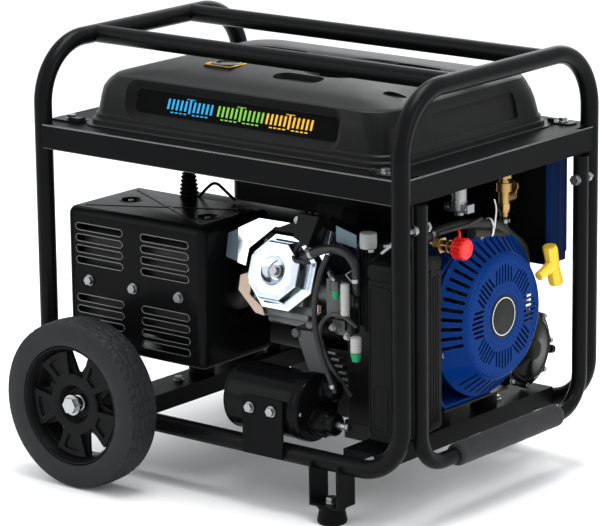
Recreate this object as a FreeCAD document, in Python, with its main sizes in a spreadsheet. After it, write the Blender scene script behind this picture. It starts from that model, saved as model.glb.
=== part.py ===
import FreeCAD, Part
import math
import os
import Sketcher
from FreeCAD import Placement, Rotation, Vector

# Portable open-frame generator, millimetres.  +X runs from the wheels to the starter end, +Y to
# the control panel, +Z up.  The origin is on the ground under the middle of the whole object.

SIZES = {
    # tube cradle
    "tube_dia": 30.0, "tube_wall": 2.0, "post_rear_x": -375.0, "post_front_x": 363.0,
    "post_y": 254.0, "top_z": 703.0, "base_z": 100.0, "join_z": 200.0, "hoop_bend": 100.0,
    "rail_bend": 80.0, "top_bar_y": 121.5, "sheet_thick": 2.5,
    # tank rails
    "rail_low": 533.0, "rail_high": 573.0, "rail_out": 12.0,
    # folding handle
    "handle_x": 371.5, "handle_dia": 25.4, "handle_y": 218.0, "handle_top": 526.0,
    "handle_low": 107.0, "handle_bend": 58.0, "pivot_z": 491.0, "pivot_bolt": 5.0,
    "grip_dia": 38.0, "grip_length": 280.0, "grip_middle": 12.0,
    # wheels and feet
    "wheel_x": -228.0, "wheel_radius": 140.0, "rim_radius": 99.0, "wheel_in": 308.0,
    "wheel_out": 372.0, "axle_radius": 8.0, "axle_fit": 0.06, "foot_height": 30.0,
    "foot_radius": 28.5, "foot_near_x": 224.0, "foot_far_x": 178.0, "foot_width": 57.0,
    "foot_depth": 45.0, "foot_sheet": 3.0,
    # engine line
    "crank_y": 50.0, "crank_z": 290.0, "cylinder_x": 82.0, "tilt": 71.0, "bore": 45.0,
    "crankcase_radius": 105.0, "drum_radius": 115.0, "shaft_radius": 17.5, "running_fit": 0.05,
    # starter end
    "cover_front": 339.0, "cover_back": 298.5, "cover_face": 100.0, "cover_base": 136.0,
    "fan_back": 215.0, "scroll_radius": 122.0, "scroll_y": 20.0,
    # tank
    "tank_rear": -316.0, "tank_front": 314.0, "tank_half": 225.0, "tank_base": 573.0,
    "tank_shoulder": 650.0, "tank_crown": 676.0,
    # exhaust guard
    "guard_rear": -345.0, "guard_front": -49.0, "guard_near": -238.0, "guard_far": -70.0,
    "guard_low": 197.0, "guard_high": 435.0, "guard_sheet": 2.0, "guard_round": 14.0,
    "slot_length": 101.0, "slot_height": 10.5,
    # control panel
    "panel_rear": -200.0, "panel_front": 318.0, "panel_in": 200.0, "panel_face": 262.0,
    "panel_low": 341.0, "panel_high": 531.0, "outlet_high": 474.0, "outlet_low": 386.0,
    # canister
    "canister_radius": 56.0, "canister_x": 10.0, "canister_y": -212.0, "canister_z": 168.0,
}

ALONG_X, ALONG_Y, ALONG_Z = Vector(1, 0, 0), Vector(0, 1, 0), Vector(0, 0, 1)

doc = FreeCAD.newDocument("portable_generator")
sheet = doc.addObject("Spreadsheet::Sheet", "sizes")
for row, (alias, value) in enumerate(SIZES.items(), start=1):
    sheet.set(f"A{row}", alias)
    sheet.set(f"B{row}", str(value))
    sheet.setAlias(f"B{row}", alias)
doc.recompute()

nodes = []


# ---------------------------------------------------------------- helpers

def place(x, y, z, axis=ALONG_Z, angle=0.0):
    return Placement(Vector(x, y, z), Rotation(axis, angle))


def facing(x, y, z, direction):
    """A placement at a point whose own Z points along the direction."""
    return Placement(Vector(x, y, z), Rotation(ALONG_Z, direction))


def primitive(kind, label, placement, **formulas):
    """A Part primitive whose fields are formulas over the sheet."""
    item = doc.addObject("Part::" + kind, label)
    for field, formula in formulas.items():
        item.setExpression(field, str(formula))
    item.Placement = placement
    return item


def box(label, x, y, z, length, width, height):
    """A box from its lowest corner; its three sides are formulas."""
    return primitive("Box", label, place(x, y, z), Length=length, Width=width, Height=height)


def rod(label, x, y, z, direction, radius, height):
    return primitive("Cylinder", label, facing(x, y, z, direction), Radius=radius, Height=height)


def join(label, *parts):
    item = doc.addObject("Part::MultiFuse", label)
    item.Shapes = list(parts)
    return item


def cut(label, base, *tools):
    item = doc.addObject("Part::Cut", label)
    item.Base = base
    item.Tool = tools[0] if len(tools) == 1 else join(label + "_tools", *tools)
    return item


def group(label, *parts):
    """Separate solids that share one node."""
    item = doc.addObject("Part::Compound", label)
    item.Links = list(parts)
    return item


def rounded(label, base, radius, wanted):
    """Fillets every edge of the base for which wanted(edge) is true."""
    doc.recompute()
    item = doc.addObject("Part::Fillet", label)
    item.Base = base
    item.Edges = [(i, radius, radius) for i, edge in enumerate(base.Shape.Edges, 1) if wanted(edge)]
    return item


def feature(label, shape):
    item = doc.addObject("Part::Feature", label)
    item.Shape = shape
    return item


def node(name, item, placement=None):
    """Names the finished object as a piece of the generator."""
    item.Label = name
    if placement:
        item.Placement = placement
    nodes.append(item)
    return item


def straight(axis):
    """True for straight edges that run along the axis."""
    def test(edge):
        if not isinstance(edge.Curve, Part.Line):
            return False
        run = edge.lastVertex().Point - edge.firstVertex().Point
        return abs(run.normalize().dot(axis)) > 0.999
    return test


def dim(alias, plus=0.0, times=1.0):
    """A sheet value with a factor and an offset, as (number, formula)."""
    return SIZES[alias] * times + plus, f"sizes.{alias} * {times} + {plus}"


def profile(body, plane, points, lift=0.0):
    """A closed outline on one of the body's planes; each coordinate is a number or a dim()."""
    sketch = body.newObject("Sketcher::SketchObject", body.Name + "_sketch")
    roles = {f.Role: f for f in body.Origin.OriginFeatures}
    sketch.AttachmentSupport = [(roles[plane], "")]
    sketch.MapMode = "FlatFace"
    sketch.AttachmentOffset = place(0, 0, lift)
    pairs = [[c if isinstance(c, tuple) else (c, None) for c in point] for point in points]
    corners = [Vector(x[0], y[0], 0) for x, y in pairs]
    for i, corner in enumerate(corners):
        sketch.addGeometry(Part.LineSegment(corner, corners[(i + 1) % len(corners)]), False)
    for i in range(len(corners)):
        sketch.addConstraint(Sketcher.Constraint("Coincident", i, 2, (i + 1) % len(corners), 1))
    for i, point in enumerate(pairs):
        for kind, (value, formula) in zip(("DistanceX", "DistanceY"), point):
            if formula:
                index = sketch.addConstraint(Sketcher.Constraint(kind, -1, 1, i, 1, value))
                sketch.setExpression(f"Constraints[{index}]", formula)
    return sketch


def turned_body(label, points):
    """A body of revolution about its own Z from (radius, height) points."""
    body = doc.addObject("PartDesign::Body", label)
    sketch = profile(body, "XZ_Plane", points)
    turn = body.newObject("PartDesign::Revolution", label + "_turn")
    turn.Profile = sketch
    turn.ReferenceAxis = (sketch, ["V_Axis"])
    turn.Angle = 360.0
    return body


def padded_body(label, points, length, plane="XY_Plane", lift=0.0):
    """A body extruded from an outline; the length is a formula."""
    body = doc.addObject("PartDesign::Body", label)
    pad = body.newObject("PartDesign::Pad", label + "_pad")
    pad.Profile = profile(body, plane, points, lift)
    pad.setExpression("Length", str(length))
    return body


def rounded_path(points, radii):
    """Straight runs through the points with a tangent arc at each inner one."""
    edges = []
    start = points[0]
    for before, corner, after, radius in zip(points, points[1:], points[2:], radii):
        back = (before - corner).normalize()
        ahead = (after - corner).normalize()
        half = back.getAngle(ahead) / 2
        reach = radius / math.tan(half)
        centre = corner + (back + ahead).normalize() * (radius / math.sin(half))
        middle = centre + (corner - centre).normalize() * radius
        first = corner + back * reach
        if (first - start).Length > 0.01:
            edges.append(Part.LineSegment(start, first).toShape())
        start = corner + ahead * reach
        edges.append(Part.Arc(first, middle, start).toShape())
    edges.append(Part.LineSegment(start, points[-1]).toShape())
    return Part.Wire(edges)


def sweep(path, radius):
    edge = path.OrderedEdges[0]
    begin = edge.valueAt(edge.FirstParameter)
    ring = Part.Wire(Part.makeCircle(radius, begin, edge.tangentAt(edge.FirstParameter)))
    return path.makePipeShell([ring], True, False)


def tube(points, radii, outer, wall):
    path = rounded_path(points, radii)
    return sweep(path, outer).cut(sweep(path, outer - wall))


def hose(points, radius):
    """A solid flexible line whose bends are as large as its runs allow."""
    radii = []
    for before, corner, after in zip(points, points[1:], points[2:]):
        turn = math.pi - (before - corner).getAngle(after - corner)
        shorter = min((before - corner).Length, (after - corner).Length)
        radii.append(0.45 * shorter / math.tan(turn / 2))
    return sweep(rounded_path(points, radii), radius)


def hex_head(x, y, z, direction, across=13.0, height=5.5, washer=9.0):
    """A hexagon head on its washer, standing on the point along the direction."""
    side = across / math.sqrt(3)
    ring = [Vector(side * math.cos(k * math.pi / 3), side * math.sin(k * math.pi / 3), 1.6)
            for k in range(7)]
    head = Part.Face(Part.makePolygon(ring)).extrude(Vector(0, 0, height))
    shape = head.fuse(Part.makeCylinder(washer, 1.6))
    shape.Placement = facing(x, y, z, direction)
    return shape


# ---------------------------------------------------------------- tube cradle

S = SIZES
TUBE = S["tube_dia"] / 2


def end_hoop(name, x, bolt_holes):
    """A bent tube: two posts and the top crossbar of one end."""
    y, low, top, bend = S["post_y"], S["join_z"], S["top_z"], S["hoop_bend"]
    points = [Vector(x, -y, low), Vector(x, -y, top), Vector(x, y, top), Vector(x, y, low)]
    shape = tube(points, [bend, bend], TUBE, S["tube_wall"])
    for side in bolt_holes:
        mouth = Vector(S["handle_x"], side * (y - 2), S["pivot_z"])
        shape = shape.cut(Part.makeCylinder(S["pivot_bolt"], 30, mouth, Vector(0, -side, 0)))
    node(name, feature(name, shape))


def rail_path(y):
    """The line of one long base rail, whose ends turn up to meet the posts."""
    rear, front, low, top = S["post_rear_x"], S["post_front_x"], S["base_z"], S["join_z"]
    return [Vector(rear, y, top), Vector(rear, y, low), Vector(front, y, low), Vector(front, y, top)]


def base_rail(name, y):
    node(name, feature(name, tube(rail_path(y), [S["rail_bend"]] * 2, TUBE, S["tube_wall"])))


end_hoop("left_end_hoop", S["post_rear_x"], ())
end_hoop("right_end_hoop", S["post_front_x"], (-1, 1))
base_rail("near_base_rail", -S["post_y"])
base_rail("far_base_rail", S["post_y"])

bars = []
for side in (-1, 1):
    y = side * S["top_bar_y"]
    length = "sizes.post_front_x - sizes.post_rear_x"
    outer = rod("bar_outer", S["post_rear_x"], y, S["top_z"], ALONG_X, "sizes.tube_dia / 2", length)
    inner = rod("bar_inner", S["post_rear_x"], y, S["top_z"], ALONG_X,
                "sizes.tube_dia / 2 - sizes.tube_wall", length)
    copes = [rod("bar_cope", x, y - 40, S["top_z"], ALONG_Y, "sizes.tube_dia / 2", 80)
             for x in (S["post_rear_x"], S["post_front_x"])]
    bars.append(cut("top_bar", outer, inner, *copes))
node("top_bars", group("top_bars", *bars))

# the four angle rails that carry the tank, coped round the posts
posts = [rod("post_cope", x, y, 500, ALONG_Z, "sizes.tube_dia / 2", 100)
         for x in (S["post_rear_x"], S["post_front_x"]) for y in (-S["post_y"], S["post_y"])]
post_set = join("post_set", *posts)
SHEET = S["sheet_thick"]
SHELF, END_SHELF = 51.0, 72.0
rails = []
for side in (-1, 1):
    face = side * (S["post_y"] + S["rail_out"])
    web = box("rail_web", S["post_rear_x"], min(face, face - side * SHEET), S["rail_low"],
              "sizes.post_front_x - sizes.post_rear_x", "sizes.sheet_thick",
              "sizes.rail_high - sizes.rail_low")
    top = box("rail_shelf", S["post_rear_x"], min(face, face - side * SHELF), S["rail_high"] - SHEET,
              "sizes.post_front_x - sizes.post_rear_x", SHELF, "sizes.sheet_thick")
    rails.append(cut("side_rail", join("side_rail_angle", web, top), post_set))
for end, x in ((-1, S["post_rear_x"]), (1, S["post_front_x"])):
    face = x + end * S["rail_out"]
    reach = S["post_y"] + S["rail_out"] - SHELF - 0.4
    web = box("end_web", min(face, face - end * SHEET), -S["post_y"] + 2, S["rail_low"],
              "sizes.sheet_thick", "2 * sizes.post_y - 4", "sizes.rail_high - sizes.rail_low")
    top = box("end_shelf", min(face, face - end * END_SHELF), -reach, S["rail_high"] - SHEET,
              END_SHELF, 2 * reach, "sizes.sheet_thick")
    rails.append(cut("end_rail", join("end_rail_angle", web, top), post_set))
node("tank_rails", group("tank_rails", *rails))

# two inverted sheet channels across the base
BEAM_XS, BEAM_TOP, BEAM_BASE, BEAM_WIDE = (-226.0, 270.0), 122.0, 92.0, 64.0
rail_copes = [feature("rail_cope", sweep(rounded_path(rail_path(y), [S["rail_bend"]] * 2), TUBE + 0.05))
              for y in (-S["post_y"], S["post_y"])]
beams = []
for x in BEAM_XS:
    outer = box("beam_outer", x - BEAM_WIDE / 2, -S["post_y"], BEAM_BASE, BEAM_WIDE, "2 * sizes.post_y",
                BEAM_TOP - BEAM_BASE)
    inner = box("beam_inner", x - BEAM_WIDE / 2 + 3, -S["post_y"], BEAM_BASE, BEAM_WIDE - 6,
                "2 * sizes.post_y", BEAM_TOP - BEAM_BASE - 3)
    outside = [box("beam_end", x - 50, y, 80, 100, 30, 60)
               for y in (-S["post_y"] - 18, S["post_y"] - 12)]
    beams.append(cut("cross_beam", outer, inner, *rail_copes, *outside))
node("engine_crossmembers", group("engine_crossmembers", *beams))

# feet: a folded sheet saddle under each base rail and a rubber foot bolted below it
saddles, feet = [], []
for x, y in ((S["foot_near_x"], -S["post_y"]), (S["foot_far_x"], S["post_y"])):
    outer = box("saddle_outer", x - S["foot_width"] / 2, y - S["foot_depth"] / 2, S["foot_height"],
                "sizes.foot_width", "sizes.foot_depth", "sizes.base_z - sizes.foot_height")
    inner = box("saddle_inner", x - S["foot_width"] / 2 + 3, y - 30, S["foot_height"] + 3,
                "sizes.foot_width - 2 * sizes.foot_sheet", 60, 80)
    notch = rod("saddle_notch", x - 40, y, S["base_z"], ALONG_X, "sizes.tube_dia / 2", 80)
    saddles.append(cut("foot_saddle", outer, inner, notch))
    foot = turned_body("foot_turned", [(0, 0), (dim("foot_radius"), 0), (dim("foot_radius"), 7),
                                       (23, 15), (21, dim("foot_height")), (0, dim("foot_height"))])
    foot.Placement = place(x, y, 0)
    feet.append(foot)
node("foot_brackets", group("foot_brackets", *saddles))
node("rubber_feet", group("rubber_feet", *feet))

# rubber mounts between the cross channels and the machine
MOUNT_YS, MOUNT_TOP = (-40.0, 90.0), 148.0
pads = []
for x in BEAM_XS:
    for y in MOUNT_YS:
        pads.append(rod("mount_pad", x, y, BEAM_TOP, ALONG_Z, 22, MOUNT_TOP - BEAM_TOP))
node("vibration_mounts", group("vibration_mounts", *pads))

# ---------------------------------------------------------------- wheels

AXLE_Z = S["wheel_radius"]
blocks, axles = [], []
for side in (-1, 1):
    y = side * S["post_y"]
    block = box("axle_plate", S["wheel_x"] - 26, y - 9, S["base_z"], 52, 18, 64)
    cope = rod("axle_cope", S["wheel_x"] - 40, y, S["base_z"], ALONG_X, "sizes.tube_dia / 2", 80)
    hole = rod("axle_hole", S["wheel_x"], y - 30, AXLE_Z, ALONG_Y, "sizes.axle_radius", 60)
    blocks.append(cut("axle_bracket", block, cope, hole))
    out = Vector(0, side, 0)
    shank = Part.makeCylinder(S["axle_radius"], S["wheel_out"] - S["post_y"] - 8 + 24,
                              Vector(S["wheel_x"], side * (S["post_y"] - 24), AXLE_Z), out)
    collar = Part.makeCylinder(16, 12, Vector(S["wheel_x"], side * 290, AXLE_Z), out)
    head = hex_head(S["wheel_x"], side * (S["wheel_out"] - 9.5), AXLE_Z, out, 24, 7.5, 17)
    nut = hex_head(S["wheel_x"], side * (S["post_y"] - 9), AXLE_Z, -out, 24, 9, 15)
    axles.append(feature("axle_bolt", shank.fuse([collar, head, nut])))
node("axle_brackets", group("axle_brackets", *blocks))
node("axle_bolts", group("axle_bolts", *axles))

WIDTH = S["wheel_out"] - S["wheel_in"]


def wheel(side_name, side):
    """A solid-rubber tyre on a moulded hub; the hub's own Z points outwards."""
    middle = facing(S["wheel_x"], side * S["wheel_in"], AXLE_Z, Vector(0, side, 0))
    radius = dim("wheel_radius")
    tyre = turned_body(side_name + "_tyre", [
        (dim("rim_radius", 1), 2), (120, 0), (dim("wheel_radius", -8), 2), (radius, 12),
        (radius, WIDTH - 12), (dim("wheel_radius", -8), WIDTH - 2), (120, WIDTH),
        (dim("rim_radius", 1), WIDTH - 2)])
    node(side_name + "_tyre", tyre, middle)
    rim = S["rim_radius"]
    disc = Part.makeCylinder(rim, WIDTH - 6, Vector(0, 0, 3))
    disc = disc.cut(Part.makeCylinder(rim - 7, 20, Vector(0, 0, WIDTH - 15)))
    disc = disc.cut(Part.makeCylinder(rim - 7, WIDTH - 34, Vector(0, 0, 3)))
    boss = Part.makeCylinder(42, WIDTH - 10, Vector(0, 0, 3))
    disc = disc.fuse(boss)
    for k in range(5):
        turn = k * 72
        pad = Part.makePolygon([Vector(40, -14, 0), Vector(88, -30, 0), Vector(88, 30, 0),
                                Vector(40, 14, 0), Vector(40, -14, 0)])
        pad = Part.Face(pad).extrude(Vector(0, 0, 8))
        pad.Placement = Placement(Vector(0, 0, WIDTH - 15), Rotation(ALONG_Z, turn))
        gap = Part.makePolygon([Vector(52, 0, 0), Vector(86, -17, 0), Vector(88, 0, 0),
                                Vector(86, 17, 0), Vector(52, 0, 0)])
        gap = Part.Face(gap).extrude(Vector(0, 0, 80))
        gap.Placement = Placement(Vector(0, 0, -10), Rotation(ALONG_Z, turn + 36))
        disc = disc.fuse(pad).cut(gap)
    disc = disc.cut(Part.makeCylinder(32, 12, Vector(0, 0, WIDTH - 12)))
    disc = disc.cut(Part.makeCylinder(S["axle_radius"] + S["axle_fit"], 100, Vector(0, 0, -10)))
    node(side_name + "_wheel_hub", feature(side_name + "_wheel_hub", disc.removeSplitter()), middle)


wheel("near", -1)
wheel("far", 1)

# ---------------------------------------------------------------- folding handle

grip_radius = S["handle_dia"] / 2
hx, hy = S["handle_x"], S["handle_y"]
handle = tube([Vector(hx, -hy, S["handle_top"]), Vector(hx, -hy, S["handle_low"]),
               Vector(hx, hy, S["handle_low"]), Vector(hx, hy, S["handle_top"])],
              [S["handle_bend"]] * 2, grip_radius, 2.0)
for side in (-1, 1):
    # a cap closes the top of each leg
    cap = Part.makeCylinder(grip_radius, 3, Vector(hx, side * hy, S["handle_top"]), ALONG_Z)
    sleeve = Part.makeCylinder(9, 2 * grip_radius, Vector(hx, side * hy - grip_radius, S["pivot_z"]),
                               ALONG_Y)
    bore = Part.makeCylinder(S["pivot_bolt"] + S["running_fit"], 60,
                             Vector(hx, side * hy - 30, S["pivot_z"]), ALONG_Y)
    handle = handle.fuse([cap, sleeve]).cut(bore)
node("handle_tube", feature("handle_tube", handle.removeSplitter()))
grip_start = S["grip_middle"] - S["grip_length"] / 2
grip_outer = rod("grip_outer", hx, grip_start, S["handle_low"], ALONG_Y, "sizes.grip_dia / 2",
                 "sizes.grip_length")
grip_inner = rod("grip_inner", hx, grip_start, S["handle_low"], ALONG_Y, "sizes.handle_dia / 2",
                 "sizes.grip_length")
node("handle_grip", cut("handle_grip", grip_outer, grip_inner))

# ---------------------------------------------------------------- tank

def ring(z, rear, front, half, corner):
    """A rounded rectangle at one height."""
    points = [Vector(rear, -half, z), Vector(front, -half, z), Vector(front, half, z),
              Vector(rear, half, z)]
    middle = Vector((rear + front) / 2, -half, z)
    return rounded_path([middle] + points[1:] + [points[0], middle], [corner] * 4)


rear, front, half = S["tank_rear"], S["tank_front"], S["tank_half"]
low, shoulder, crown = S["tank_base"], S["tank_shoulder"], S["tank_crown"]
lower = Part.makeLoft([ring(low, rear, front, half, 40),
                       ring(low + 32, rear + 4, front - 3, half - 8, 42)], True, True)
flank = Part.makeLoft([ring(low + 32, rear + 4, front - 3, half - 8, 42),
                       ring(shoulder, rear + 34, front - 20, half - 20, 48)], True, True)
roof = Part.makeLoft([ring(shoulder, rear + 34, front - 20, half - 20, 48),
                      ring(crown, rear + 78, front - 60, half - 60, 60)], True, True)
body = lower.fuse([flank, roof]).removeSplitter()
seam = Part.Face(ring(low, rear - 7, front + 7, half + 9, 46)).extrude(Vector(0, 0, 2.5))
EAR = 3.0
REAR_BOLT, FRONT_BOLT = (-350.0, 212.0), (322.0, 238.0)
ears = []
for side in (-1, 1):
    for x, y, long, wide in ((*REAR_BOLT, 62, 36), (*FRONT_BOLT, 44, 28)):
        spot = Vector(x - long / 2, side * y - wide / 2, low)
        ears.append(Part.makeBox(long, wide, EAR, spot))
CAP_X, CAP_Y, CAP_Z = 79.0, -2.0, 656.0
dish = Part.makeCone(70, 84, 30, Vector(CAP_X, CAP_Y, CAP_Z))
neck = Part.makeCylinder(46, 6, Vector(CAP_X, CAP_Y, CAP_Z))
GAUGE_X, GAUGE_Y, GAUGE_WIDE = -144.0, -118.0, 58.0
gauge_seat = Part.makeBox(59, 59, 20, Vector(GAUGE_X - 0.5, GAUGE_Y - 0.5, crown - 6))
WALL = 2.0
hollow_low = Part.makeLoft([ring(low + WALL, rear + 3, front - 3, half - 3, 38),
                            ring(low + 32, rear + 6, front - 5, half - 10, 40)], True, True)
hollow_side = Part.makeLoft([ring(low + 32, rear + 6, front - 5, half - 10, 40),
                             ring(shoulder - 1, rear + 37, front - 23, half - 23, 46)], True, True)
hollow_roof = Part.makeLoft([ring(shoulder - 1, rear + 37, front - 23, half - 23, 46),
                             ring(crown - 3, rear + 84, front - 66, half - 66, 56)], True, True)
hollow = hollow_low.fuse([hollow_side, hollow_roof])
hollow = hollow.cut(Part.makeCone(70, 88, 34, Vector(CAP_X, CAP_Y, CAP_Z - 3)))
hollow = hollow.cut(Part.makeBox(64, 64, 20, Vector(GAUGE_X - 3, GAUGE_Y - 3, crown - 9)))
mouth = Part.makeCylinder(30, 40, Vector(CAP_X, CAP_Y, CAP_Z - 20))
body = body.fuse([seam, *ears]).cut(dish).fuse(neck).cut([gauge_seat, hollow, mouth])
node("fuel_tank", feature("fuel_tank", body))

gauge = Part.makeBox(GAUGE_WIDE, GAUGE_WIDE, 8, Vector(GAUGE_X, GAUGE_Y, crown - 6))
dial = Vector(GAUGE_X + GAUGE_WIDE / 2, GAUGE_Y + GAUGE_WIDE / 2, crown - 1)
gauge = gauge.cut(Part.makeCylinder(19, 5, dial))
node("fuel_gauge", feature("fuel_gauge", gauge))

cap = turned_body("fuel_cap", [(0, 0), (56, 0), (58, 3), (58, 13), (54, 17), (14, 19), (0, 19)])
node("fuel_cap", cap, place(CAP_X, CAP_Y, CAP_Z + 6.3))

# ---------------------------------------------------------------- exhaust side

PIPE_Y, TIP_Z, ELBOW_Z, PORT_Z = -150.0, 372.0, 300.0, 345.0
guard = box("guard_block", S["guard_rear"], S["guard_near"], S["guard_low"],
            "sizes.guard_front - sizes.guard_rear", "sizes.guard_far - sizes.guard_near",
            "sizes.guard_high - sizes.guard_low")
guard = rounded("guard_rounded", guard, S["guard_round"],
                lambda e: e.BoundBox.YMax < S["guard_near"] + 1 or straight(ALONG_Y)(e))
t = S["guard_sheet"]
inside = box("guard_inside", S["guard_rear"] + t, S["guard_near"] + t, S["guard_low"] + t,
             "sizes.guard_front - sizes.guard_rear - 2 * sizes.guard_sheet",
             "sizes.guard_far - sizes.guard_near + 40",
             "sizes.guard_high - sizes.guard_low - 2 * sizes.guard_sheet")
inside = rounded("guard_hollow", inside, S["guard_round"] - t,
                 lambda e: e.BoundBox.YMax < S["guard_near"] + t + 1 or straight(ALONG_Y)(e))
slots = []
for x in (-323.0, -181.0):
    for z in (341.0, 360.0, 379.0, 398.0, 218.0, 237.0, 257.0, 277.0):
        slots.append(box("guard_slot", x, S["guard_near"] - 5, z, "sizes.slot_length", 12,
                         "sizes.slot_height"))
outlet = rod("guard_outlet", S["guard_rear"] - 10, PIPE_Y, TIP_Z, ALONG_X, 23, 30)
elbow = rod("guard_elbow", S["guard_front"] - 20, PIPE_Y, ELBOW_Z, ALONG_X, 34, 40)
node("muffler_guard", cut("muffler_guard", guard, inside, outlet, elbow, *slots))

muffler = Part.makeBox(230, 122, 176, Vector(-322, -222, 226))
muffler = muffler.makeFillet(34, [e for e in muffler.Edges if straight(ALONG_X)(e)])
pipe = tube([Vector(-93, PIPE_Y, ELBOW_Z), Vector(-32, PIPE_Y, ELBOW_Z), Vector(-32, PIPE_Y, PORT_Z),
             Vector(14, PIPE_Y, PORT_Z)], [22, 22], 16, 2.0)
tip = tube([Vector(-322, PIPE_Y, TIP_Z), Vector(-352, PIPE_Y, TIP_Z)], [], 18, 1.5)
muffler = muffler.fuse([pipe, tip])
node("muffler", feature("muffler", muffler))

# ---------------------------------------------------------------- alternator

CY, CZ = S["crank_y"], S["crank_z"]
drum_outer = rod("drum_outer", -318, CY, CZ, ALONG_X, "sizes.drum_radius", 298)
drum_inner = rod("drum_inner", -308, CY, CZ, ALONG_X, "sizes.drum_radius - 5", 278)
shaft_gap = rod("drum_bore", -330, CY, CZ, ALONG_X, 24, 340)
vents = []
for k in range(12):
    angle = math.radians(30 * k)
    vents.append(box("drum_vent", -322, CY + 66 * math.cos(angle) - 9, CZ + 66 * math.sin(angle) - 9,
                     20, 18, 18))
feet_block = [box("drum_foot", -252, y - 30, MOUNT_TOP, 52, 60, 60) for y in MOUNT_YS]
drum = cut("drum_shell", join("drum_body", drum_outer, *feet_block), drum_inner, shaft_gap, *vents)
node("alternator_housing", drum)
CORE_X, CORE_LONG = -240.0, 130.0
core_outer = rod("core_outer", CORE_X, CY, CZ, ALONG_X, "sizes.drum_radius - 5", CORE_LONG)
core_inner = rod("core_inner", CORE_X - 1, CY, CZ, ALONG_X, 72, CORE_LONG + 2)
node("stator", cut("stator", core_outer, core_inner))
rotor = rod("rotor_core", CORE_X, CY, CZ, ALONG_X, 70, CORE_LONG)
rotor_fan = rod("rotor_fan", -60, CY, CZ, ALONG_X, 95, 14)
rotor_rod = rod("rotor_shaft", -316, CY, CZ, ALONG_X, "sizes.shaft_radius", 294)
node("alternator_rotor", join("alternator_rotor", rotor, rotor_fan, rotor_rod))

# ---------------------------------------------------------------- engine

case_outer = rod("case_round", -19, CY, CZ, ALONG_X, "sizes.crankcase_radius", 181)
case_foot = box("case_foot", 5, CY - 90, MOUNT_TOP, 150, 180, 60)
leaning = Placement(Vector(22, CY, CZ), Rotation(ALONG_X, S["tilt"]))
case_deck = primitive("Box", "case_deck", leaning.multiply(place(0, -60, 0)),
                      Length=120, Width=120, Height=118)
case_hollow = rod("case_hollow", 0, CY, CZ, ALONG_X, "sizes.crankcase_radius - 9", 150)
case_shaft = rod("case_bearing", -40, CY, CZ, ALONG_X, "sizes.shaft_radius + sizes.running_fit", 240)
case_bore = primitive("Cylinder", "case_bore",
                      Placement(Vector(S["cylinder_x"], CY, CZ), Rotation(ALONG_X, S["tilt"])),
                      Radius="sizes.bore + 4", Height=130)
legs = box("case_legs", 150, -62, MOUNT_TOP, 152, 176, 3.6)
node("crankcase", cut("crankcase", join("case_body", case_outer, case_foot, case_deck, legs),
                      case_hollow, case_shaft, case_bore))


def on_cylinder(x, t, s):
    """A placement in the cylinder's own axes: x along the crank, t across, s outwards."""
    lean = Placement(Vector(S["cylinder_x"], CY, CZ), Rotation(ALONG_X, S["tilt"]))
    return lean.multiply(Placement(Vector(x, t, s), Rotation()))


def lean_box(label, x, t, s, length, width, height):
    item = primitive("Box", label, Placement(), Length=length, Width=width, Height=height)
    item.Placement = on_cylinder(x, t, s)
    return item


def lean_rod(label, x, t, s, radius, height):
    item = primitive("Cylinder", label, Placement(), Radius=radius, Height=height)
    item.Placement = on_cylinder(x, t, s)
    return item


sleeve = lean_rod("cylinder_wall", 0, 0, 118.4, "sizes.bore + 9", 82)
liner = lean_rod("cylinder_liner", 0, 0, 88, "sizes.bore + 3.5", 40)
fins = [lean_box("cylinder_fin", -58, -58, 124 + 9 * k, 116, 116, 3) for k in range(8)]
bore = lean_rod("cylinder_bore", 0, 0, 80, "sizes.bore", 130)
node("cylinder", cut("cylinder", join("cylinder_body", sleeve, liner, *fins), bore))
head_core = lean_box("head_core", -50, -48, 200.6, 100, 96, 57)
head_fins = [lean_box("head_fin", -62, -60, 204 + 9 * k, 124, 120, 3) for k in range(5)]
ports = lean_box("head_ports", -66, -22, 216, 132, 44, 30)
node("cylinder_head", join("cylinder_head", head_core, ports, *head_fins))


flange = lean_box("cover_flange", -64, -60, 257.8, 128, 120, 5)
flange = rounded("cover_flange_cut", flange, 30, lambda e: e.Length < 6 and e.Length > 4)
dome = lean_rod("cover_dome", 0, 0, 262, 50, 25)
dimple = lean_rod("cover_dimple", 0, 0, 279, 18, 12)
node("rocker_cover", cut("rocker_cover", join("cover_stack", flange, dome), dimple))

cowl = lean_box("cowl_outer", -97, -30, 126, 170, 128, 130)
cowl_in = lean_box("cowl_inner", -95, -60, 120, 190, 156, 134)
cowl_open = lean_box("cowl_open", -66.5, -61, 190, 140, 122.5, 90)
cowl_pipe = rod("cowl_pipe", -30, PIPE_Y, PORT_Z, ALONG_X, 19, 50)
cowl_lead = lean_box("cowl_lead", 30, 90, 200, 32, 20, 42)
node("cylinder_shroud", cut("cylinder_shroud", cowl, cowl_in, cowl_open, cowl_pipe, cowl_lead))

plug_body = lean_box("plug_lead", 34, 61.5, 222, 22, 34, 22)
plug_coil = lean_box("plug_coil", 20, 99, 190, 52, 22, 40)
plug_bridge = lean_box("plug_bridge", 36, 94, 205, 18, 8, 30)
node("spark_plug", join("spark_plug", plug_body, plug_coil, plug_bridge))

piston = lean_rod("piston_body", 0, 0, 92, "sizes.bore - sizes.running_fit", 42)
piston_in = lean_rod("piston_hollow", 0, 0, 91, "sizes.bore - 7", 34)
node("piston", cut("piston", piston, piston_in))

INTAKE_Y, INTAKE_Z = -172.0, 348.0
carb_body = box("carb_body", 171, INTAKE_Y - 24, INTAKE_Z - 30, 46, 44, 60)
carb_throat = rod("carb_throat", 149, INTAKE_Y, INTAKE_Z, ALONG_X, 18, 119)
carb_bowl = rod("carb_bowl", 194, INTAKE_Y - 2, INTAKE_Z - 58, ALONG_Z, 20, 30)
node("carburettor", join("carburettor", carb_body, carb_throat, carb_bowl))

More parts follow.
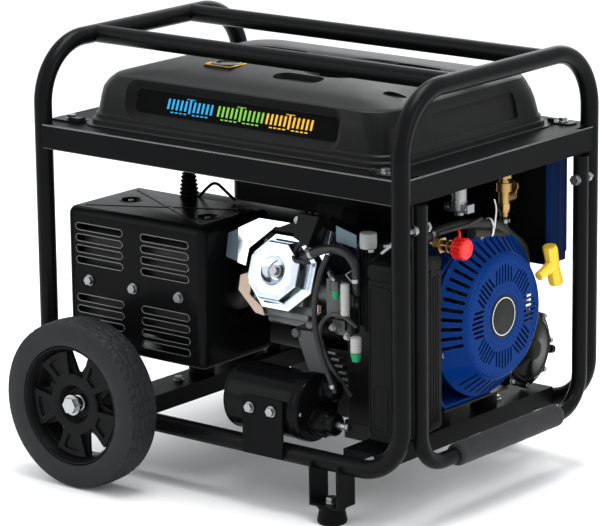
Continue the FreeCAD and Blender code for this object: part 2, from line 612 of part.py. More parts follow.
airbox = box("airbox", 266, -220, 134, 58, 113, 290)
airbox = rounded("airbox_round", airbox, 9, lambda e: True)
# its outer half reaches further in, past the edge of the blower housing
airbox_wing = box("airbox_wing", 300, -130, 140, 24, 37, 278)
airbox_wing = rounded("airbox_wing_round", airbox_wing, 6, lambda e: e.BoundBox.YMin > -94)
airbox_mouth = rod("airbox_mouth", 258, INTAKE_Y, INTAKE_Z, ALONG_X, 19, 20)
node("air_cleaner", cut("air_cleaner", join("airbox_whole", airbox, airbox_wing), airbox_mouth))

starter = rod("starter_body", 30, 178, 190, ALONG_X, 36, 128)
solenoid = rod("starter_solenoid", 40, 196, 236, ALONG_X, 16, 84)
node("starter_motor", join("starter_motor", starter, solenoid))
BATTERY_BASE, BATTERY_HIGH = BEAM_TOP + 0.4, 92.0
battery = box("battery_case", -345, 140, BATTERY_BASE, 145, 86, BATTERY_HIGH)
terminals = [box("battery_post", x, 150, BATTERY_BASE + BATTERY_HIGH, 14, 12, 8) for x in (-338, -222)]
node("battery", join("battery", battery, *terminals))

crank_main = rod("crank_main", -19, CY, CZ, ALONG_X, "sizes.shaft_radius", 240)
crank_webs = [rod("crank_web", x, CY, CZ, ALONG_X, 58, 18) for x in (44, 102)]
CRANK_THROW = 33.0
crank_pin = rod("crank_pin", 62, CY + CRANK_THROW * math.sin(math.radians(S["tilt"])),
                CZ - CRANK_THROW * math.cos(math.radians(S["tilt"])), ALONG_X, 18, 40)
crank_gap = rod("crank_gap", 62, CY, CZ, ALONG_X, 30, 40)
node("crankshaft", join("crankshaft", cut("crank_split", crank_main, crank_gap), *crank_webs, crank_pin))

wheel_disc = rod("flywheel_disc", 224, CY, CZ, ALONG_X, 83, 22)
fan_disc = rod("fan_disc", 246, CY, CZ, ALONG_X, 83, 5)
blades = []
for k in range(14):
    blade = Part.makeBox(30, 4, 40, Vector(251, -2, 42))
    blade.rotate(Vector(0, 0, 0), ALONG_X, 360 / 14 * k)
    blade.translate(Vector(0, CY, CZ))
    blades.append(feature("fan_blade", blade))
cup = rod("starter_cup", 251, CY, CZ, ALONG_X, 44, 24)
shaft_nut = rod("shaft_nut", 221, CY, CZ, ALONG_X, 15, 46)
node("flywheel", join("flywheel", wheel_disc, fan_disc, cup, shaft_nut, *blades))

# ---------------------------------------------------------------- blower housing and recoil starter

scroll = rod("scroll", S["fan_back"], S["scroll_y"], CZ, ALONG_X, "sizes.scroll_radius", 83)
skirt = box("scroll_skirt", S["fan_back"], -72, 152, 83, 150, 120)
scroll_in = rod("scroll_hollow", S["fan_back"] + 4, S["scroll_y"], CZ, ALONG_X,
                "sizes.scroll_radius - 3", 90)
skirt_in = box("skirt_hollow", S["fan_back"] + 4, -69, 155, 90, 144, 110)
scroll_eye = rod("scroll_eye", S["fan_back"] - 5, CY, CZ, ALONG_X, 30, 20)
node("fan_housing", cut("fan_housing", join("scroll_body", scroll, skirt), scroll_in, skirt_in, scroll_eye))

depth = "sizes.cover_front - sizes.cover_back"
cone = primitive("Cone", "cover_cone", facing(S["cover_back"], CY, CZ, ALONG_X),
                 Radius1="sizes.cover_base", Radius2="sizes.cover_face", Height=depth)
hollow = primitive("Cone", "cover_hollow", facing(S["cover_back"] - 0.1, CY, CZ, ALONG_X),
                   Radius1="sizes.cover_base - 4", Radius2="sizes.cover_face - 4", Height=depth + " - 3")
cover_slots = []


def cover_slot(name, angle, *sizes):
    """A slot cutter drawn above the crank line and turned round it."""
    slot = Part.makeBox(*sizes)
    slot.rotate(Vector(0, 0, 0), ALONG_X, angle)
    slot.translate(Vector(0, CY, CZ))
    cover_slots.append(feature(name, slot))


# round the sloping wall, left out at three places, and in eight groups of five on the face
for k in range(36):
    if k % 12 not in (5, 6):
        cover_slot("cover_slot", 10 * k, 26, 7, 60, Vector(S["cover_back"] + 7, -3.5, 90))
for sector in range(8):
    for k in (-2, -1, 0, 1, 2):
        cover_slot("face_slot", 45 * sector, 8, 4, 26, Vector(S["cover_front"] - 6, -2 + 9 * k, 56))
pull_way = Vector(0, math.cos(math.radians(16)), math.sin(math.radians(16)))
rope_exit = rod("rope_exit", 328, 110, 322, pull_way, 6, 160)
post_hub = rod("cover_post", 284, CY, CZ, ALONG_X, 9, 52)
node("recoil_cover", join("recoil_cover", cut("cover_shell", cone, hollow, rope_exit, *cover_slots),
                          post_hub))

pulley = rod("pulley_disc", 303, CY, CZ, ALONG_X, 48, 18)
pulley_groove = cut("pulley_groove_ring", rod("groove_outer", 308, CY, CZ, ALONG_X, 60, 8),
                    rod("groove_inner", 307, CY, CZ, ALONG_X, 43, 10))
pulley_bore = rod("pulley_bore", 300, CY, CZ, ALONG_X, "9 + sizes.running_fit", 30)
node("recoil_pulley", cut("recoil_pulley", pulley, pulley_groove, pulley_bore))

# starter handle: a crossbar and a tapered stem pointing at the rope exit
PULL = Vector(334.0, 186.0, 343.5)
stem = Part.makeCone(7, 10, 30, PULL - pull_way * 34, pull_way)
across = Vector(0, -pull_way.z, pull_way.y)
bar = Part.makeCylinder(11, 72, PULL - across * 36, across)
bar = bar.makeFillet(6, [e for e in bar.Edges if not isinstance(e.Curve, Part.Line)])
node("pull_handle", feature("pull_handle", stem.fuse(bar)))

# ---------------------------------------------------------------- gas side and fuel lines

disc = turned_body("regulator_disc", [(0, 0), (46, 0), (62, 8), (70, 10), (70, 20), (61, 22),
                                      (52, 34), (22, 38), (0, 38)])
node("gas_regulator", disc, facing(258, 200, 194, ALONG_X))

# the can lies along X; its far end carries the purge valve and the vent port
CAN_X, CAN_Y, CAN_Z = S["canister_x"], S["canister_y"], S["canister_z"]
CAN_END = CAN_X + 156
can = turned_body("canister_can", [(0, 0), (50, 0), (dim("canister_radius"), 5), (dim("canister_radius"), 138),
                                    (58, 140), (58, 152), (50, 156), (0, 156)])
can.Placement = facing(CAN_X, CAN_Y, CAN_Z, ALONG_X)
BRACKET_X, BRACKET_Y = 59.0, -274.5
plate = box("canister_plate", BRACKET_X, BRACKET_Y, 92, 81, 4.5, 96)
arm = box("canister_arm", BRACKET_X, BRACKET_Y + 4, CAN_Z - 10, 78, 2.3, 20)
node("canister_bracket", join("canister_bracket", plate, arm))

SPOUT_START, SPOUT_END, PURGE_Y, PURGE_Z = CAN_END + 38, 231.0, -216.0, 148.0
purge = Part.makeCylinder(20, 42, Vector(CAN_END, PURGE_Y, PURGE_Z), ALONG_X)
spout = Part.makeCylinder(7, SPOUT_END - SPOUT_START, Vector(SPOUT_START, PURGE_Y, PURGE_Z), ALONG_X)
purge = purge.fuse(spout)
port = Part.makeCylinder(18, 30, Vector(CAN_END, -196, 196), ALONG_X)
node("evap_canister", group("evap_canister", can, feature("vent_port", port)))
node("purge_valve", feature("purge_valve", purge))

breather = hose([Vector(142, -206, 412), Vector(165, -206, 430), Vector(200, -200, 440),
                 Vector(236, -188, 430), Vector(246, -176, 400), Vector(244, -172, 369)], 7.5)
vent = hose([Vector(168, -226, 432), Vector(160, -232, 390), Vector(158, -236, 340),
             Vector(170, -238, 290), Vector(198, -232, 236), Vector(210, -226, 204)], 4.5)
fuel = hose([Vector(290, 118, 436), Vector(290, 118, 418), Vector(292, 154, 398),
             Vector(292, 184, 376), Vector(286, 192, 340), Vector(280, 191, 300),
             Vector(278, 188, 265)], 6.0)
gas = hose([Vector(286, -96, 440), Vector(290, -60, 446), Vector(296, -20, 448),
            Vector(300, 20, 444), Vector(300, 64, 434)], 8.5)
node("hoses", group("hoses", *[feature("hose", s) for s in (breather, vent, fuel, gas)]))

INLET_Y, INLET_Z = -48.0, 420.0
inlet = Part.makeCylinder(9, 62, Vector(270, INLET_Y, INLET_Z), ALONG_X)
red = turned_body("gas_cap", [(9, 0), (17, 0), (18, 3), (18, 19), (15, 23), (0, 23), (0, 17), (9, 17)])
node("gas_inlet_cap", red, facing(316, INLET_Y, INLET_Z, ALONG_X))

# the tap hangs from the tank: a stem, a hexagon-sized collar, the body, a nipple and the lever's boss
TAP_X, TAP_Y, LEVER_Y, LEVER_Z = 290.0, 118.0, 142.4, 466.0
tap = Part.makeCylinder(9, 52, Vector(TAP_X, TAP_Y, 444), ALONG_Z)
tap = tap.fuse([Part.makeCylinder(13, 14, Vector(TAP_X, TAP_Y, 478), ALONG_Z),
                Part.makeCylinder(7, 79, Vector(TAP_X, TAP_Y, 494), ALONG_Z),
                Part.makeCylinder(7, 8, Vector(TAP_X, TAP_Y, 436), ALONG_Z),
                Part.makeCylinder(8, 24, Vector(TAP_X, TAP_Y, LEVER_Z), ALONG_Y)])
node("brass_fittings", group("brass_fittings", feature("fuel_tap", tap), feature("gas_inlet", inlet)))
lever = Part.makeBox(8, 5, 30, Vector(TAP_X - 4, LEVER_Y, LEVER_Z - 4))
lever = lever.fuse(Part.makeCylinder(7, 5, Vector(TAP_X, LEVER_Y, LEVER_Z), ALONG_Y))
node("tap_lever", feature("tap_lever", lever))

valve = Part.makeCylinder(13, 30, Vector(284, -4, 474), ALONG_X)
valve = valve.fuse([Part.makeBox(24, 26, 26, Vector(266, -17, 461)),
                    Part.makeCylinder(7, 40, Vector(276, -4, 486), ALONG_Z)])
node("solenoid_valve", feature("solenoid_valve", valve))

# ---------------------------------------------------------------- control panel

panel = box("panel_block", S["panel_rear"], S["panel_in"], S["panel_low"],
            "sizes.panel_front - sizes.panel_rear", "sizes.panel_face - sizes.panel_in",
            "sizes.panel_high - sizes.panel_low")
panel = rounded("panel_round", panel, 12, lambda e: e.BoundBox.YMin > S["panel_face"] - 1)
hollow = box("panel_hollow", S["panel_rear"] + 4, S["panel_in"] - 4, S["panel_low"] + 4,
             "sizes.panel_front - sizes.panel_rear - 8", "sizes.panel_face - sizes.panel_in",
             "sizes.panel_high - sizes.panel_low - 8")
FACE = S["panel_face"]
SWITCH_X, BUTTON_Z, SWITCH_Z, BREAKER_Z = -150.0, 480.0, 420.0, 378.0
BEHIND = FACE - 22
windows = [rod("button_hole", SWITCH_X, BEHIND, BUTTON_Z, ALONG_Y, 12, 40),
           box("switch_hole", SWITCH_X - 18, BEHIND, SWITCH_Z - 15, 36, 40, 30),
           box("breaker_hole", SWITCH_X - 14, BEHIND, BREAKER_Z - 20, 28, 40, 40)]
node("control_panel", cut("control_panel", panel, hollow, *windows))

# receptacles sit on the panel face under their flip covers
HIGH_ROW, LOW_ROW = S["outlet_high"], S["outlet_low"]
COLUMNS = (-60.0, 60.0, 190.0)
COVERS = {"left_outlet_cover": (COLUMNS[0], HIGH_ROW), "right_outlet_cover": (COLUMNS[1], HIGH_ROW)}
faces = []
for x, z in [(x, z) for x in COLUMNS for z in (HIGH_ROW, LOW_ROW)]:
    plate = Part.makeCylinder(30, 5, Vector(x, FACE, z), ALONG_Y)
    for dx in (-12, 8):
        plate = plate.cut(Part.makeBox(3, 10, 14, Vector(x + dx, FACE - 1, z - 7)))
    faces.append(feature("receptacle", plate))
node("outlets", group("outlets", *faces))
for name, (x, z) in COVERS.items():
    lid = Part.makeBox(72, 3, 72, Vector(x - 36, FACE + 5.5, z - 38))
    lid = lid.makeFillet(8, [e for e in lid.Edges if straight(ALONG_Y)(e)])
    knuckle = Part.makeCylinder(3, 50, Vector(x - 25, FACE + 7, z + 36), ALONG_X)
    node(name, feature(name, lid.fuse(knuckle)))

button = rod("start_button_cap", SWITCH_X, FACE - 13, BUTTON_Z, ALONG_Y, 11.4, 20)
node("start_button", button)
rocker = box("ignition_rocker", SWITCH_X - 17.4, FACE - 12, SWITCH_Z - 11.4, 34.8, 14, 22.8)
rocker_pin = rod("rocker_pin", SWITCH_X - 17.65, FACE - 5, SWITCH_Z, ALONG_X, 2.5, 35.3)
node("ignition_switch", join("ignition_switch", rocker, rocker_pin))
toggle = box("breaker_toggle", SWITCH_X - 10, FACE - 10, BREAKER_Z - 10, 20, 16, 12)
toggle_pin = rod("breaker_pin", SWITCH_X - 12, FACE - 6, BREAKER_Z - 4, ALONG_X, 2.5, 24)
node("main_breaker", join("main_breaker", toggle, toggle_pin))

# ---------------------------------------------------------------- fasteners

spots = [(x, S["guard_near"], 314, -ALONG_Y) for x in (-296, -200, -101)]
spots += [(x, BRACKET_Y, CAN_Z + 1, -ALONG_Y) for x in (75, 119)]
spots += [(x, side * y, S["tank_base"] + EAR, ALONG_Z) for x, y in (REAR_BOLT, FRONT_BOLT)
          for side in (-1, 1)]
spots += [(x, y, BEAM_TOP, ALONG_Z) for x in BEAM_XS for y in (-100, 124)]
heads = [feature("hex_bolt", hex_head(*spot)) for spot in spots]
cap_screw = hex_head(0, 0, 0, ALONG_Z, 13, 6, 11)
cap_screw.Placement = on_cylinder(0, 0, 279)
heads.append(feature("cover_bolt", cap_screw))
for side in (-1, 1):
    out = Vector(0, side, 0)
    pin = Part.makeCylinder(S["pivot_bolt"], 47, Vector(hx, side * 202, S["pivot_z"]), out)
    head = hex_head(hx, side * (hy - grip_radius - 0.4), S["pivot_z"], -out, 15, 6, 9)
    spacer = Part.makeCylinder(9, 7, Vector(hx, side * (hy + grip_radius + 0.4), S["pivot_z"]), out)
    heads.append(feature("pivot_bolt_set", pin.fuse([head, spacer])))
for x, y in ((S["foot_near_x"], -S["post_y"]), (S["foot_far_x"], S["post_y"])):
    heads.append(feature("foot_nut", hex_head(x, y, S["foot_height"] + 3, ALONG_Z, 17, 8, 12)))
STUD = Vector(250, FACE, 366)
stud = Part.makeCylinder(3, 16, STUD, ALONG_Y)
heads.append(feature("earth_stud", stud.fuse(Part.makeCylinder(8, 2, STUD, ALONG_Y))))
node("fasteners", group("fasteners", *heads))

# ---------------------------------------------------------------- check and write

doc.recompute()
for item in doc.Objects:
    if {"Invalid", "Error"} & set(item.State):
        raise RuntimeError(f"{item.Name} ({item.Label}) failed: {item.State}")
os.makedirs("parts", exist_ok=True)
for item in nodes:
    if item.Shape.isNull() or not item.Shape.isValid():
        raise RuntimeError(f"{item.Label} has a bad shape")
    item.Shape.exportStep(f"parts/{item.Label}.step")
    print(f"{item.Label:24s} solids {len(item.Shape.Solids):3d} volume {item.Shape.Volume / 1000:9.1f} cm3")
print(len(nodes), "nodes")
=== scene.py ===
import math
import random

import bmesh
import bpy
from mathutils import Matrix, Vector


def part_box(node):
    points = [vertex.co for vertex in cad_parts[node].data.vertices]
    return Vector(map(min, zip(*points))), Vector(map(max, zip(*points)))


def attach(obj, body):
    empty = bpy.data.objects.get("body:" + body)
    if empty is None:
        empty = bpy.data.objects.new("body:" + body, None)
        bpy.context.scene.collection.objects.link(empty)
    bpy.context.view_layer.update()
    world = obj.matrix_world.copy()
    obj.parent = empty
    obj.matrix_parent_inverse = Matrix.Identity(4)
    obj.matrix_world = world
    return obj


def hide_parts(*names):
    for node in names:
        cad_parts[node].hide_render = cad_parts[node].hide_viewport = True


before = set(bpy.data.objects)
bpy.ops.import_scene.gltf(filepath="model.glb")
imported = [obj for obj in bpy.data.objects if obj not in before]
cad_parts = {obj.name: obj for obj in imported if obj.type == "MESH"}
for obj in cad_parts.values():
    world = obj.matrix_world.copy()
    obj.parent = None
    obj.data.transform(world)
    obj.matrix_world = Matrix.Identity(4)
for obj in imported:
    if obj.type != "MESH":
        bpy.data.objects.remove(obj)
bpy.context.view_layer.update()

# Shapes are drawn in millimetres in a local frame and set into the row frame, in metres, by at().
MM = 0.001
X, Y, Z = Vector((1, 0, 0)), Vector((0, 1, 0)), Vector((0, 0, 1))


# ---------------------------------------------------------------- placing and building

def mm_box(node):
    """The lowest and highest corner of a CAD node, in millimetres."""
    low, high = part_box(node)
    return low / MM, high / MM


def at(x, y, z, towards=Z, side=None):
    """The matrix of a local millimetre frame: its Z points along towards, and its Y is upright."""
    towards = Vector(towards).normalized()
    if side is None:
        side = X if abs(towards.z) > 0.999 else Z.cross(towards)
    side = (side - towards * side.dot(towards)).normalized()
    turn = Matrix((side, towards.cross(side), towards)).transposed().to_4x4()
    return Matrix.Translation(Vector((x, y, z)) * MM) @ turn @ Matrix.Scale(MM, 4)


HERE = at(0, 0, 0)


def turned(place, degrees):
    """A frame turned about its own Z."""
    return place @ Matrix.Rotation(math.radians(degrees), 4, "Z")


def moved(place, x, y, z):
    """A frame moved along its own axes, in millimetres."""
    return place @ Matrix.Translation((x, y, z))


def add_rings(bm, rings, matrix, ends="closed"):
    """Skins a stack of rings of equal count; its ends are closed, open, or joined to each other."""
    made = [[bm.verts.new(matrix @ Vector(p)) for p in ring] for ring in rings]
    count = len(made[0])
    for low, high in zip(made, made[1:] + (made[:1] if ends == "joined" else [])):
        for i in range(count):
            j = (i + 1) % count
            bm.faces.new((low[i], low[j], high[j], high[i]))
    if ends == "closed":
        bm.faces.new(made[0][::-1])
        bm.faces.new(made[-1])


def circle(radius, height=0.0, steps=48, phase=0.0):
    turns = [phase + 2 * math.pi * k / steps for k in range(steps)]
    return [(radius * math.cos(t), radius * math.sin(t), height) for t in turns]


def add_lathe(bm, profile, matrix, steps=64):
    """A body of revolution about local Z from (radius, height) points."""
    add_rings(bm, [circle(r, h, steps) for r, h in profile], matrix)


def add_ring_lathe(bm, profile, matrix, steps=64):
    """A closed profile turned about local Z: a ring with a hole."""
    add_rings(bm, [circle(r, h, steps) for r, h in profile], matrix, "joined")


def add_prism(bm, outline, low, high, matrix, top=1.0):
    """An outline of (x, y) points pushed from one height to another; top scales the far end."""
    add_rings(bm, [[(x, y, low) for x, y in outline], [(x * top, y * top, high) for x, y in outline]],
              matrix)


def add_block(bm, low, high, matrix=HERE):
    (x0, y0, z0), (x1, y1, z1) = low, high
    add_prism(bm, [(x0, y0), (x1, y0), (x1, y1), (x0, y1)], z0, z1, matrix)


def rounded_outline(x0, y0, x1, y1, radius, steps=6):
    """A rectangle with round corners, counterclockwise."""
    outline = []
    corners = ((x1, y1, 0), (x0, y1, 90), (x0, y0, 180), (x1, y0, 270))
    for x, y, start in corners:
        cx = x - radius if x == x1 else x + radius
        cy = y - radius if y == y1 else y + radius
        for k in range(steps + 1):
            turn = math.radians(start + 90 * k / steps)
            outline.append((cx + radius * math.cos(turn), cy + radius * math.sin(turn)))
    return outline


def centred_outline(wide, tall, radius, inset=0.0):
    """A rectangle with round corners about the origin, from its half width and half height."""
    return rounded_outline(inset - wide, inset - tall, wide - inset, tall - inset, radius)


def add_steps(bm, wide, tall, rows, matrix):
    """A rounded block whose sides step in and out: rows of (height, inset, corner radius)."""
    add_rings(bm, [[(x, y, height) for x, y in centred_outline(wide, tall, radius, inset)]
                   for height, inset, radius in rows], matrix)


def toothed_outline(outer, inner, count, period, land):
    """A round outline of count points that steps in after every land of points."""
    return [polygon(outer if k % period < land else inner, count)[k] for k in range(count)]


def slot_outline(length, width, steps=6):
    """A straight slot with round ends, centred."""
    return rounded_outline(-length / 2, -width / 2, length / 2, width / 2, width / 2 - 0.01, steps)


def polygon(radius, sides, phase=0.0):
    return [(x, y) for x, y, _ in circle(radius, 0, sides, phase)]


def smooth_path(points, steps=8):
    """Points along a quadratic spline that cuts inside the corners of the route."""
    points = [Vector(p) for p in points]
    middles = [(a + b) / 2 for a, b in zip(points, points[1:])]
    path = [points[0]]
    for start, corner, end in zip(middles, points[1:], middles[1:]):
        for k in range(steps):
            t = k / steps
            path.append(start * (1 - t) ** 2 + corner * 2 * t * (1 - t) + end * t * t)
    return path + [middles[-1], points[-1]]


def add_tube(bm, points, radius, steps=14, rib=None):
    """A round tube along points in millimetres; rib(i) scales the radius at the i-th point."""
    points = [Vector(p) for p in points]
    heading = (points[1] - points[0]).normalized()
    side = heading.orthogonal().normalized()
    rings = []
    for i, point in enumerate(points):
        ahead = points[min(i + 1, len(points) - 1)] - points[max(i - 1, 0)]
        ahead.normalize()
        side = (side - ahead * side.dot(ahead)).normalized()
        other = ahead.cross(side)
        size = radius * (rib(i) if rib else 1.0)
        rings.append([point + side * x + other * y for x, y in polygon(size, steps)])
    add_rings(bm, rings, HERE)


def add_bead(bm, outline, radius, matrix, height=0.0, steps=6):
    """A round bead that follows a closed flat outline."""
    rings = []
    for (x, y), back, ahead in zip(outline, outline[-1:] + outline, outline[1:] + outline[:1]):
        run = Vector((ahead[0] - back[0], ahead[1] - back[1])).normalized()
        rings.append([(x + run.y * out, y - run.x * out, height + up)
                      for out, up in polygon(radius, steps)])
    add_rings(bm, rings, matrix, "joined")


def add_bolt(bm, spot, towards, across, height, washer):
    """A hexagon head with a chamfered top and a cupped middle, on a washer."""
    place = at(*spot, towards)
    add_lathe(bm, [(washer, 0), (washer, 1.2), (washer - 0.5, 1.6)], place, 28)
    side = across / math.sqrt(3)
    add_rings(bm, [circle(side * share, h, 6, 0.3) for share, h in (
        (1, 1.5), (1, height + 0.9), (0.88, height + 1.6), (0.62, height + 1.6), (0.5, height + 0.9))],
              place)


def add_round_bolts(bm, turns, radius, place, *sizes):
    """Bolts on a circle about the frame's own Z, at turns in degrees."""
    for turn in turns:
        add_bolt(bm, turned(place, turn) @ Vector((radius, 0, 0)) / MM, place.to_3x3() @ Z, *sizes)


def add_screw(bm, spot, towards, radius):
    """A low pan-head screw."""
    add_lathe(bm, [(radius, 0), (radius, 0.8), (radius * 0.8, 2.0), (radius * 0.45, 2.4)],
              at(*spot, towards), 20)


def to_mesh(bm, name):
    bmesh.ops.remove_doubles(bm, verts=bm.verts, dist=1e-6)
    bmesh.ops.recalc_face_normals(bm, faces=bm.faces)
    mesh = bpy.data.meshes.new(name)
    bm.to_mesh(mesh)
    bm.free()
    return mesh


def settle(piece):
    """Applies every modifier of the piece."""
    graph = bpy.context.evaluated_depsgraph_get()
    piece.data = bpy.data.meshes.new_from_object(piece.evaluated_get(graph))
    piece.modifiers.clear()


def carve(piece, cutter):
    """Cuts the cutter's volume out of the piece."""
    tool = bpy.data.objects.new("cutter", to_mesh(cutter, "cutter"))
    bpy.context.collection.objects.link(tool)
    boolean = piece.modifiers.new("cut", "BOOLEAN")
    boolean.object = tool
    boolean.operation = "DIFFERENCE"
    boolean.solver = "EXACT"
    boolean.use_self = True
    settle(piece)
    bpy.data.objects.remove(tool)


def make(name, bm, look, body="frame", stands_for=(), bevel=0.0, angle=32, segments=2,
         cutter=None):
    """Turns a bmesh into a finished piece that rides on a body and takes a material slot.

    A look from EXTRA has no slot of its own in the model.
    """
    piece = bpy.data.objects.new(name, to_mesh(bm, name))
    bpy.context.collection.objects.link(piece)
    if cutter is not None:
        carve(piece, cutter)
    piece.data.materials.clear()
    piece.data.materials.append(LOOKS[look] if look in LOOKS else EXTRA[look])
    piece.data.shade_smooth()
    piece.data.set_sharp_from_angle(angle=math.radians(angle))
    if bevel:
        soft = piece.modifiers.new("edges", "BEVEL")
        soft.width = bevel * MM
        soft.segments = segments
        soft.limit_method = "ANGLE"
        soft.angle_limit = math.radians(angle)
        soft.harden_normals = True
    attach(piece, body)
    if stands_for:
        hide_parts(*stands_for)
    return piece


# ---------------------------------------------------------------- materials

def new_material(name):
    material = bpy.data.materials.new(name)
    material.use_nodes = True
    nodes = material.node_tree.nodes
    links = material.node_tree.links
    return material, nodes, links, nodes["Principled BSDF"]


def noise_node(nodes, links, source, scale, detail=4.0, roughness=0.55):
    texture = nodes.new("ShaderNodeTexNoise")
    texture.inputs["Scale"].default_value = scale
    texture.inputs["Detail"].default_value = detail
    texture.inputs["Roughness"].default_value = roughness
    links.new(source, texture.inputs["Vector"])
    return texture.outputs["Fac"]


def spread(nodes, links, source, low, high, start=0.3, end=0.7):
    """Maps a grey value from start..end to low..high."""
    node = nodes.new("ShaderNodeMapRange")
    for socket, value in zip(("From Min", "From Max", "To Min", "To Max"), (start, end, low, high)):
        node.inputs[socket].default_value = value
    links.new(source, node.inputs["Value"])
    return node.outputs["Result"]


def blend_colour(nodes, links, factor, first, second):
    node = nodes.new("ShaderNodeMix")
    node.data_type = "RGBA"
    links.new(factor, node.inputs["Factor"])
    for socket, colour in zip((6, 7), (first, second)):
        if isinstance(colour, tuple):
            node.inputs[socket].default_value = (*colour, 1)
        else:
            links.new(colour, node.inputs[socket])
    return node.outputs[2]


def shade(colour, factor):
    return tuple(min(1.0, c * factor) for c in colour)


def finish(name, colour, rough, metal=0.0, vary=0.12, patch=9.0, grain=900.0, bump=0.12, depth=0.2,
           rough_vary=0.08, worn=None, edge=0.35, shine=0.5, coat=0.0, coat_rough=0.1, stretch=None,
           cells=None, soften=0.0, sheen=0.0):
    """A finish: colour patches, roughness clouds, surface grain and worn edges, in metres."""
    material, nodes, links, shader = new_material(name)
    place = nodes.new("ShaderNodeTexCoord").outputs["Object"]
    fine_place = place
    if stretch:
        mapping = nodes.new("ShaderNodeMapping")
        mapping.inputs["Scale"].default_value = stretch
        links.new(place, mapping.inputs["Vector"])
        fine_place = mapping.outputs["Vector"]
    clouds = noise_node(nodes, links, place, patch)
    fine = noise_node(nodes, links, fine_place, grain, 5.0, 0.6)
    tone = blend_colour(nodes, links, spread(nodes, links, clouds, 0, 1),
                        shade(colour, 1 - vary), shade(colour, 1 + vary))
    speck = spread(nodes, links, fine, 0, vary, 0.45, 0.75)
    tone = blend_colour(nodes, links, speck, tone, shade(colour, 1.7))
    if worn:
        # edges show where the rounded normal turns away from the surface's own
        geometry = nodes.new("ShaderNodeNewGeometry")
        rounded = nodes.new("ShaderNodeBevel")
        rounded.samples = 4
        rounded.inputs["Radius"].default_value = 1.2 * MM
        match = nodes.new("ShaderNodeVectorMath")
        match.operation = "DOT_PRODUCT"
        links.new(rounded.outputs["Normal"], match.inputs[0])
        links.new(geometry.outputs["Normal"], match.inputs[1])
        rub = nodes.new("ShaderNodeMath")
        rub.operation = "MULTIPLY"
        links.new(spread(nodes, links, match.outputs["Value"], edge, 0, 0.80, 0.985), rub.inputs[0])
        links.new(spread(nodes, links, noise_node(nodes, links, place, 70.0), 0.2, 1.4, 0.35, 0.7),
                  rub.inputs[1])
        tone = blend_colour(nodes, links, rub.outputs["Value"], tone, worn)
    links.new(tone, shader.inputs["Base Color"])
    smear = noise_node(nodes, links, place, 38.0, 6.0)
    links.new(spread(nodes, links, smear, rough - rough_vary, rough + rough_vary),
              shader.inputs["Roughness"])
    height = nodes.new("ShaderNodeBump")
    height.inputs["Strength"].default_value = bump
    height.inputs["Distance"].default_value = depth * MM
    relief = fine
    if cells:
        voronoi = nodes.new("ShaderNodeTexVoronoi")
        voronoi.inputs["Scale"].default_value = cells
        links.new(place, voronoi.inputs["Vector"])
        relief = voronoi.outputs["Distance"]
    links.new(relief, height.inputs["Height"])
    if soften:
        corner = nodes.new("ShaderNodeBevel")
        corner.samples = 4
        corner.inputs["Radius"].default_value = soften * MM
        links.new(corner.outputs["Normal"], height.inputs["Normal"])
    links.new(height.outputs["Normal"], shader.inputs["Normal"])
    shader.inputs["Metallic"].default_value = metal
    shader.inputs["Specular IOR Level"].default_value = shine
    shader.inputs["Coat Weight"].default_value = coat
    shader.inputs["Coat Roughness"].default_value = coat_rough
    shader.inputs["Sheen Weight"].default_value = sheen
    return material


def black(name, share, rough, **options):
    """A black finish, with grey wear at its edges unless told otherwise."""
    return finish(name, shade(BLACK, share), rough, **{"worn": GREY, **CALM, **options})


